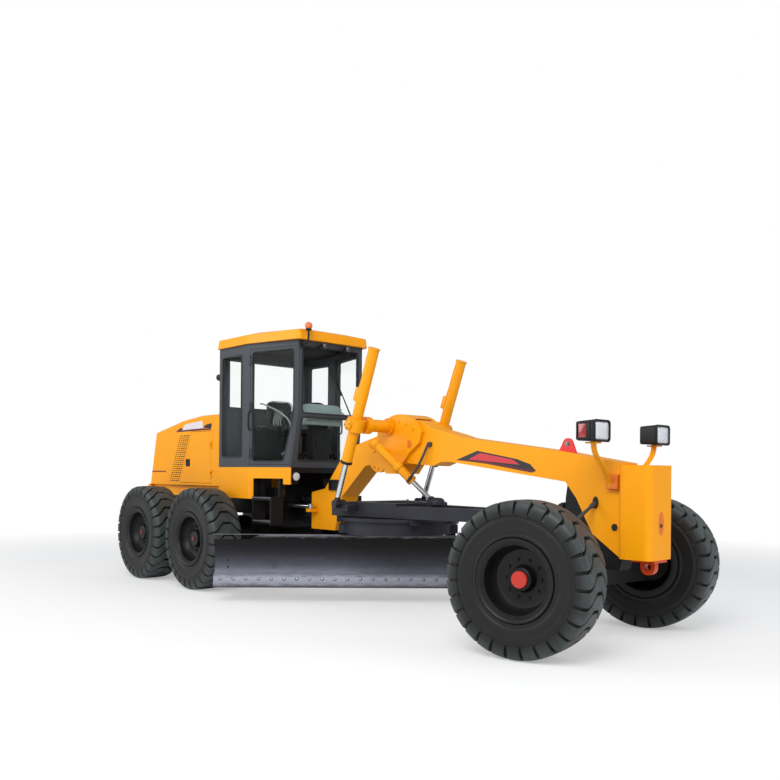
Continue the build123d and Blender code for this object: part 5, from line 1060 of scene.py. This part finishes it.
for name, shape, normal_axis, run_axis in pads:
    points, faces = swollen(*shape, 0.0085, 4.0, 0.012)
    low, high = points.min(axis=0), points.max(axis=0)
    middle, half = (low + high) / 2, (high - low) / 2
    share = (points - middle) / half
    facing = np.clip(share[:, normal_axis], 0.0, 1.0)
    cross_line = np.abs(share[:, 1]) - 0.52
    run_line = share[:, run_axis]
    crease = np.exp(-(cross_line * half[1] / 0.008) ** 2)
    for at in (-0.45, 0.0, 0.45):
        crease = np.maximum(crease,
                            np.exp(-((run_line - at) * half[run_axis] / 0.008) ** 2)
                            * (cross_line < 0.02))
    points[:, normal_axis] -= 0.007 * crease * facing
    pad = mesh_piece(name, points, faces, cloth_grey, "rear", "fabric",
                     ("seat",) if name == "seat_cushion" else (), sharp=80.0)
pad_turns = [(math.copysign(abs(math.cos(a)) ** 0.35, math.cos(a)),
              math.copysign(abs(math.sin(a)) ** 0.35, math.sin(a)))
             for a in np.linspace(0, 2 * math.pi, 73)]
edge = [tube([(-1.160 + 0.213 * x, 0.231 * y, 2.157) for x, y in pad_turns], 0.005, 8),
        tube([(-1.428, 0.201 * y, 2.330 + 0.231 * z) for y, z in pad_turns], 0.005, 8)]
mesh_piece("seat_piping", *joined(edge), grip_black, "rear", "fabric", sharp=60.0)

# ---------------------------------------------------------------- blade
# A rolled plate, near black at its top and slate-grey below, with a bright bolted cutting edge. The
# dark top is partly old paint and partly painted shade where the curved face turns down; the grey
# lower band is partly steel scoured bare and partly painted light where the face turns up. The bolts
# are flush plough bolts.
def touch(node, start, direction):
    """Where a line from a point meets a CAD node, and the surface's outward normal there."""
    hit, place, normal, _ = nodes[node].ray_cast(Vector(start), Vector(direction).normalized())
    return (np.array(place), np.array(normal)) if hit else (None, None)


scoured_and_shaded, tree, shader, output = new_material("scoured_and_shaded_blade")
place = tree.nodes.new("ShaderNodeTexCoord")
parts = tree.nodes.new("ShaderNodeSeparateXYZ")
streaks = tree.nodes.new("ShaderNodeMapping")
blade_angle = 48.3  # degrees from straight ahead
streaks.inputs["Rotation"].default_value = (0.0, 0.0, math.radians(-blade_angle))
streaks.inputs["Scale"].default_value = (1.2, 6.0, 26.0)
noise = add_node(tree, "ShaderNodeTexNoise", Scale=1.6, Detail=6.0, Roughness=0.6)
wander = add_node(tree, "ShaderNodeMath", operation="MULTIPLY_ADD")
wander.inputs[1].default_value = 0.10
# The colour ramp runs darker towards the top and lighter in the lower band: partly old paint and
# scoured steel, partly painted shade on the upper face, which turns down, and painted light on the
# lower face, which turns up.
height = add_node(tree, "ShaderNodeMapRange", From_Min=0.25, From_Max=0.86)
shades = tree.nodes.new("ShaderNodeValToRGB")
stops = ((0.0, srgb(66, 67, 74)), (0.06, srgb(124, 126, 138)), (0.16, srgb(142, 144, 158)),
         (0.22, srgb(104, 106, 118)),
         (0.42, srgb(70, 71, 82)), (0.62, srgb(36, 36, 43)), (0.78, srgb(13, 13, 16)),
         (0.95, srgb(9, 9, 11)),
         (1.0, srgb(110, 108, 114)))
while len(shades.color_ramp.elements) < len(stops):
    shades.color_ramp.elements.new(0.5)
for stop, (at, colour) in zip(shades.color_ramp.elements, stops):
    stop.position = at
    stop.color = colour
sheen = add_node(tree, "ShaderNodeMapRange", To_Min=0.30, To_Max=0.55)
effect = skin_node(tree, grain=200.0, bump=0.15)
link(tree, place, "Object", parts, 0)
link(tree, place, "Object", streaks, "Vector")
link(tree, streaks, "Vector", noise, "Vector")
link(tree, noise, "Fac", wander, 0)
link(tree, parts, "Z", wander, 2)
link(tree, wander, 0, height, "Value")
link(tree, height, 0, shades, "Fac")
link(tree, shades, "Color", shader, "Base Color")
link(tree, noise, "Fac", sheen, "Value")
link(tree, sheen, 0, shader, "Roughness")
link(tree, effect, "Normal", shader, "Normal")
set_sockets(shader, Metallic=0.15, Specular_IOR_Level=0.3)
dress(scoured_and_shaded, "blade")
blade_run = np.array((math.cos(math.radians(blade_angle)), math.sin(math.radians(blade_angle)),
                      0.0))
blade_front = np.array((blade_run[1], -blade_run[0], 0.0))
circle_x = 1.047
edge_middle = np.array((circle_x, 0.0, 0.0)) - 0.084 * blade_front
bolts, sinks = [], []
edge_bolts, bolt_pitch, parked_shift = 28, 0.152, -0.071
for number in range(edge_bolts):
    along = parked_shift + (number - (edge_bolts - 1) / 2) * bolt_pitch
    start = edge_middle + along * blade_run + 0.6 * blade_front + np.array((0.0, 0.0, 0.288))
    where, normal = touch("blade", start, -blade_front)
    if where is not None:
        bolts.append(turned(((-0.001, 0.0), (-0.001, 0.015), (0.002, 0.015), (0.003, 0.012),
                             (0.003, 0.0)), where, normal, 20))
        sinks.append(turned(((0.0, 0.015), (0.0012, 0.015), (0.0012, 0.019), (0.0, 0.020)), where,
                            normal, 20, close=True))
for along, height_at in ((-2.05, 0.42), (-2.05, 0.50), (1.91, 0.42), (1.91, 0.50)):
    where, normal = touch("blade",
                          edge_middle + along * blade_run + 0.6 * blade_front
                          + (0.0, 0.0, height_at), -blade_front)
    if where is not None:
        sinks.append(turned(((-0.001, 0.0), (-0.001, 0.014), (0.001, 0.014), (0.001, 0.0)), where,
                            normal, 20))
mesh_piece("edge_bolts", *joined(bolts), zinc, "blade", "blade_steel")
# The sinks are black rings round the bolts and discs near the blade's ends: painted shade of the gaps
# and holes.
mesh_piece("edge_bolt_sinks", *joined(sinks), hole_shade, "blade", "black")

# ---------------------------------------------------------------- drawbar, circle and their bolts
# Slate-black weldments: bolts of the guide shoes on the drawbar's plate, and the drive's housing.
bolts = []
shoe_ring = 0.66  # radius of the ring of bolts
shoe_bolts = 24
for number in range(shoe_bolts):
    turn = (number + 0.5) * 2 * math.pi / shoe_bolts
    start = (circle_x + shoe_ring * math.cos(turn), shoe_ring * math.sin(turn), 1.6)
    where, normal = touch("drawbar", start, (0, 0, -1))
    if where is not None and normal[2] > 0.9:
        bolts.extend(stud_shapes([where], (0, 0, 1), 0.014, 0.012))
drive = turned(((-0.01, 0.0), (-0.01, 0.092), (0.030, 0.090), (0.052, 0.078), (0.066, 0.052),
                (0.070, 0.0)),
               (1.690, 0.0, 1.225), upward, 40)
bolts.append(drive)
bolts.extend(stud_shapes(circle_places((1.690, 0.0, 1.238), upward, 0.100, 8), upward, 0.008,
                         0.010))
mesh_piece("drawbar_bolts", *joined(bolts), slate, "drawbar", "slate")

# ---------------------------------------------------------------- cylinders
# Yellow barrels with a valve block and pipe on the back, a black gland at the rod's end and bolted
# trunnion covers. The lift rods are chromed down to their black eyes.
for side, name in ((1, "left"), (-1, "right")):
    down = np.array(joints["lift_" + name + "_stroke"]["axis"], float)
    pivot = np.array((1.083, side * 0.700, 2.110))
    back = np.array((down[2], 0.0, -down[0]))
    back *= -1.0 if back[0] > 0 else 1.0
    block_at = pivot - down * 0.330 + back * 0.060
    yellow_parts = [shut_case(((0.0, 0.080, 0.030, 0.008), (0.055, 0.078, 0.030, 0.008),
                               (0.062, 0.070, 0.024, 0.008)), block_at, back, down),
                    tube(bent((pivot - down * 0.40 + back * 0.085,
                               pivot - down * 0.46 + back * 0.085,
                               pivot - down * 0.50 + back * 0.078,
                               pivot - down * 0.80 + back * 0.078,
                               pivot - down * 0.84 + back * 0.055)), 0.011, 12),
                    turned(((0.0, 0.062), (0.0, 0.069), (0.014, 0.070), (0.016, 0.066),
                            (0.016, 0.0), (0.010, 0.0)),
                           pivot - down * 0.872, -down, 40)]
    yellow_parts.append(turned(((0.0, 0.0), (0.0, 0.060), (0.016, 0.058), (0.020, 0.050),
                                (0.020, 0.0)),
                               pivot + (0, side * 0.104, 0), (0, side, 0), 36))
    mesh_piece("lift_valve_" + name, *joined(yellow_parts), yellow, "lift_barrel_" + name, "yellow",
               sharp=30.0)
    dark_parts = [turned(((0.0, 0.034), (0.0, 0.066), (0.004, 0.069), (0.030, 0.069),
                          (0.036, 0.060), (0.040, 0.036)),
                         pivot + down * 0.434, down, 40, close=True)]
    dark_parts += stud_shapes(circle_places(pivot + (0, side * 0.122, 0), (0, side, 0), 0.040, 4),
                              (0, side, 0), 0.008, 0.009)
    dark_parts += stud_shapes([block_at + back * 0.060 + down * shift
                               for shift in (-0.05, 0.0, 0.05)], back, 0.010, 0.010)
    mesh_piece("lift_gland_" + name, *joined(dark_parts), pod_black, "lift_barrel_" + name, "black",
               sharp=30.0)
stroke = np.array(joints["shift_stroke"]["axis"], float)
pin = np.array((1.186, -0.391, 1.821))
rings = [turned(((0.0, 0.045), (0.0, 0.060), (0.006, 0.063), (0.052, 0.063), (0.058, 0.060),
                 (0.058, 0.045)),
                pin + stroke * start, stroke, 36, close=True) for start in (-0.150, 0.230)]
rings.append(turned(((0.0, 0.030), (0.0, 0.056), (0.050, 0.060), (0.058, 0.056), (0.060, 0.030)),
                    pin + stroke * 0.436, stroke, 36, close=True))
mesh_piece("shift_collars", *joined(rings), yellow, "shift_barrel", "yellow")
for name in ("left", "right"):  # the lift rods are chromed down to their black painted eyes
    material, tree, shader, output = new_material("lift_rod_coats_" + name)
    effect = skin_node(tree, scale=9.0)
    place = tree.nodes.new("ShaderNodeTexCoord")
    parts = tree.nodes.new("ShaderNodeSeparateXYZ")
    bright = add_node(tree, "ShaderNodeMath", operation="GREATER_THAN",
                      _1=float(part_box("lift_rod_" + name)[0][2]) + 0.125)
    steel, coat = (add_node(tree, "ShaderNodeMix", data_type="RGBA") for _ in range(2))
    steel.inputs[6].default_value = srgb(200, 203, 208)
    steel.inputs[7].default_value = srgb(225, 227, 230)
    coat.inputs[6].default_value = srgb(24, 24, 28)
    gloss = add_node(tree, "ShaderNodeMapRange", To_Min=0.45, To_Max=0.14)
    link(tree, place, "Object", parts, 0)
    link(tree, parts, "Z", bright, 0)
    link(tree, effect, "Mottle", steel, 0)
    link(tree, steel, 2, coat, 7)
    for socket in (coat.inputs[0], gloss.inputs["Value"], shader.inputs["Metallic"]):
        tree.links.new(bright.outputs[0], socket)
    link(tree, coat, 2, shader, "Base Color")
    link(tree, gloss, 0, shader, "Roughness")
    link(tree, effect, "Normal", shader, "Normal")
    dress(material, "lift_rod_" + name)

# ---------------------------------------------------------------- saddle and hitch details
# Bolted saddle: hub covers, a five-sided pad on each side plate, a dark steel pipe down to the
# shift cylinder, and the black box of the frame lock beside the hitch.
studs, pads, pipes, boxes = [], [], [], []
for side in (1, -1):
    five = [(-0.034, -0.044), (0.012, -0.044), (0.040, 0.002), (0.012, 0.040), (-0.034, 0.046)]
    pads.append(slab([(1.426 + x, 1.902 + z) for x, z in five], (0, side * 0.184, 0), ahead, upward,
                     0.004, 0.002))
    studs += stud_shapes([(1.020 + 0.115 * k, side * 0.184,
                           2.165 - 0.012 * k * (k - 2)) for k in range(5)],
                         (0, side, 0), 0.014, 0.014)
    studs += stud_shapes([(0.815, side * 0.184, 1.640), (0.880, side * 0.184, 1.620),
                          (0.815, side * 0.184, 1.820)],
                         (0, side, 0), 0.014, 0.014)
    studs += stud_shapes(circle_places((1.083, side * 0.224, 2.110), (0, side, 0), 0.086, 8),
                         (0, side, 0), 0.010, 0.010)
    boxes.append(shut_case(((-0.002, 0.100, 0.068, 0.010), (0.024, 0.100, 0.068, 0.010),
                            (0.030, 0.094, 0.062, 0.010),
                       (0.030, 0.078, 0.046, 0.006), (0.012, 0.076, 0.044, 0.006)),
                      (-0.010, side * girder_half, 1.410), (0, side, 0), ahead))
pipe_path = bent(((1.715, -0.134, 1.892), (1.712, -0.175, 1.892), (1.690, -0.200, 1.800),
                  (1.600, -0.215, 1.640),
                  (1.480, -0.215, 1.520)))
pipes.append(tube(pipe_path, 0.0145, 14))
pipes.append(turned(((0.0, 0.0), (0.0, 0.032), (0.030, 0.032), (0.036, 0.024), (0.036, 0.0)),
                    (1.715, -0.134, 1.892),
                    (0, -1, 0), 6))
pipes.append(tube((pipe_path[-1], pipe_path[-1] + (pipe_path[-1] - pipe_path[-3]) * 0.6), 0.021, 6))
mesh_piece("saddle_bolts", *joined(studs), yellow, "front", "yellow")
mesh_piece("saddle_pads", *joined(pads), orange_and_painted_shade, "front", "yellow")
mesh_piece("shift_pipe", *joined(pipes), cast, "front", "black", sharp=40.0)
mesh_piece("lock_boxes", *joined(boxes), pod_black, "front", "black", sharp=30.0)

# ---------------------------------------------------------------- steps, rear and running gear trim
# Worn edges on the step treads, the headliner under the roof, a radiator core behind the grille
# and red tail lamps.
worn_edge = paint("worn_tread", srgb(96, 97, 102), srgb(66, 67, 72), rough=(0.4, 0.6), scale=14.0)
edges = []
for side in (1, -1):
    for height_at in (0.936, 1.236):
        edges.append(tube(((-0.960, side * 0.742, height_at), (-0.540, side * 0.742, height_at)),
                          0.009, 10))
        for row in range(3):
            edges.append(shut_case(((0.0, 0.200, 0.010, 0.004), (0.005, 0.198, 0.007, 0.004)),
                              (-0.750, side * (0.600 + 0.045 * row), height_at), upward, ahead))
mesh_piece("step_treads", *joined(edges), worn_edge, "rear", "black", sharp=30.0)
# The headliner takes the dark teal: partly trim colour, partly painted shade under the roof.
liner = [(-1.740, -0.690), (-1.080, -0.690), (-0.345, -0.470), (-0.345, 0.470), (-1.080, 0.690),
         (-1.740, 0.690)]
mesh_piece("headliner", *slab(liner, (0, 0, 3.243), ahead, leftward, 0.006, 0.003), teal_dark_and_shaded,
           "rear", "plastic")
grille_low, grille_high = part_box("rear_grille")
run = np.array((grille_high[0] - grille_low[0] - 0.035, 0.0, grille_high[2] - grille_low[2]))
run /= np.linalg.norm(run)
length = (grille_high[2] - grille_low[2]) / run[2]
mesh_piece("radiator_core", *slab([(-0.365, 0.02), (0.365, 0.02), (0.365, length - 0.02),
                                   (-0.365, length - 0.02)],
                                  (grille_low[0] + 0.045, 0, grille_low[2]), leftward, run, 0.004,
                                  0.001),
           mesh_black, "rear", "black")
tail_bowls, tail_glasses = [], []
for side in (1, -1):
    bowl, glass = round_lamp((-4.404, side * 0.440, 1.080), (-1, 0, 0), 0.052, 0.012)
    tail_bowls.append(bowl)
    tail_glasses.append(glass)
mesh_piece("tail_lamp_bowls", *joined(tail_bowls), pod_black, "rear", "black", sharp=30.0)
mesh_piece("tail_lamp_glasses", *joined(tail_glasses), red_lens, "rear", "red")
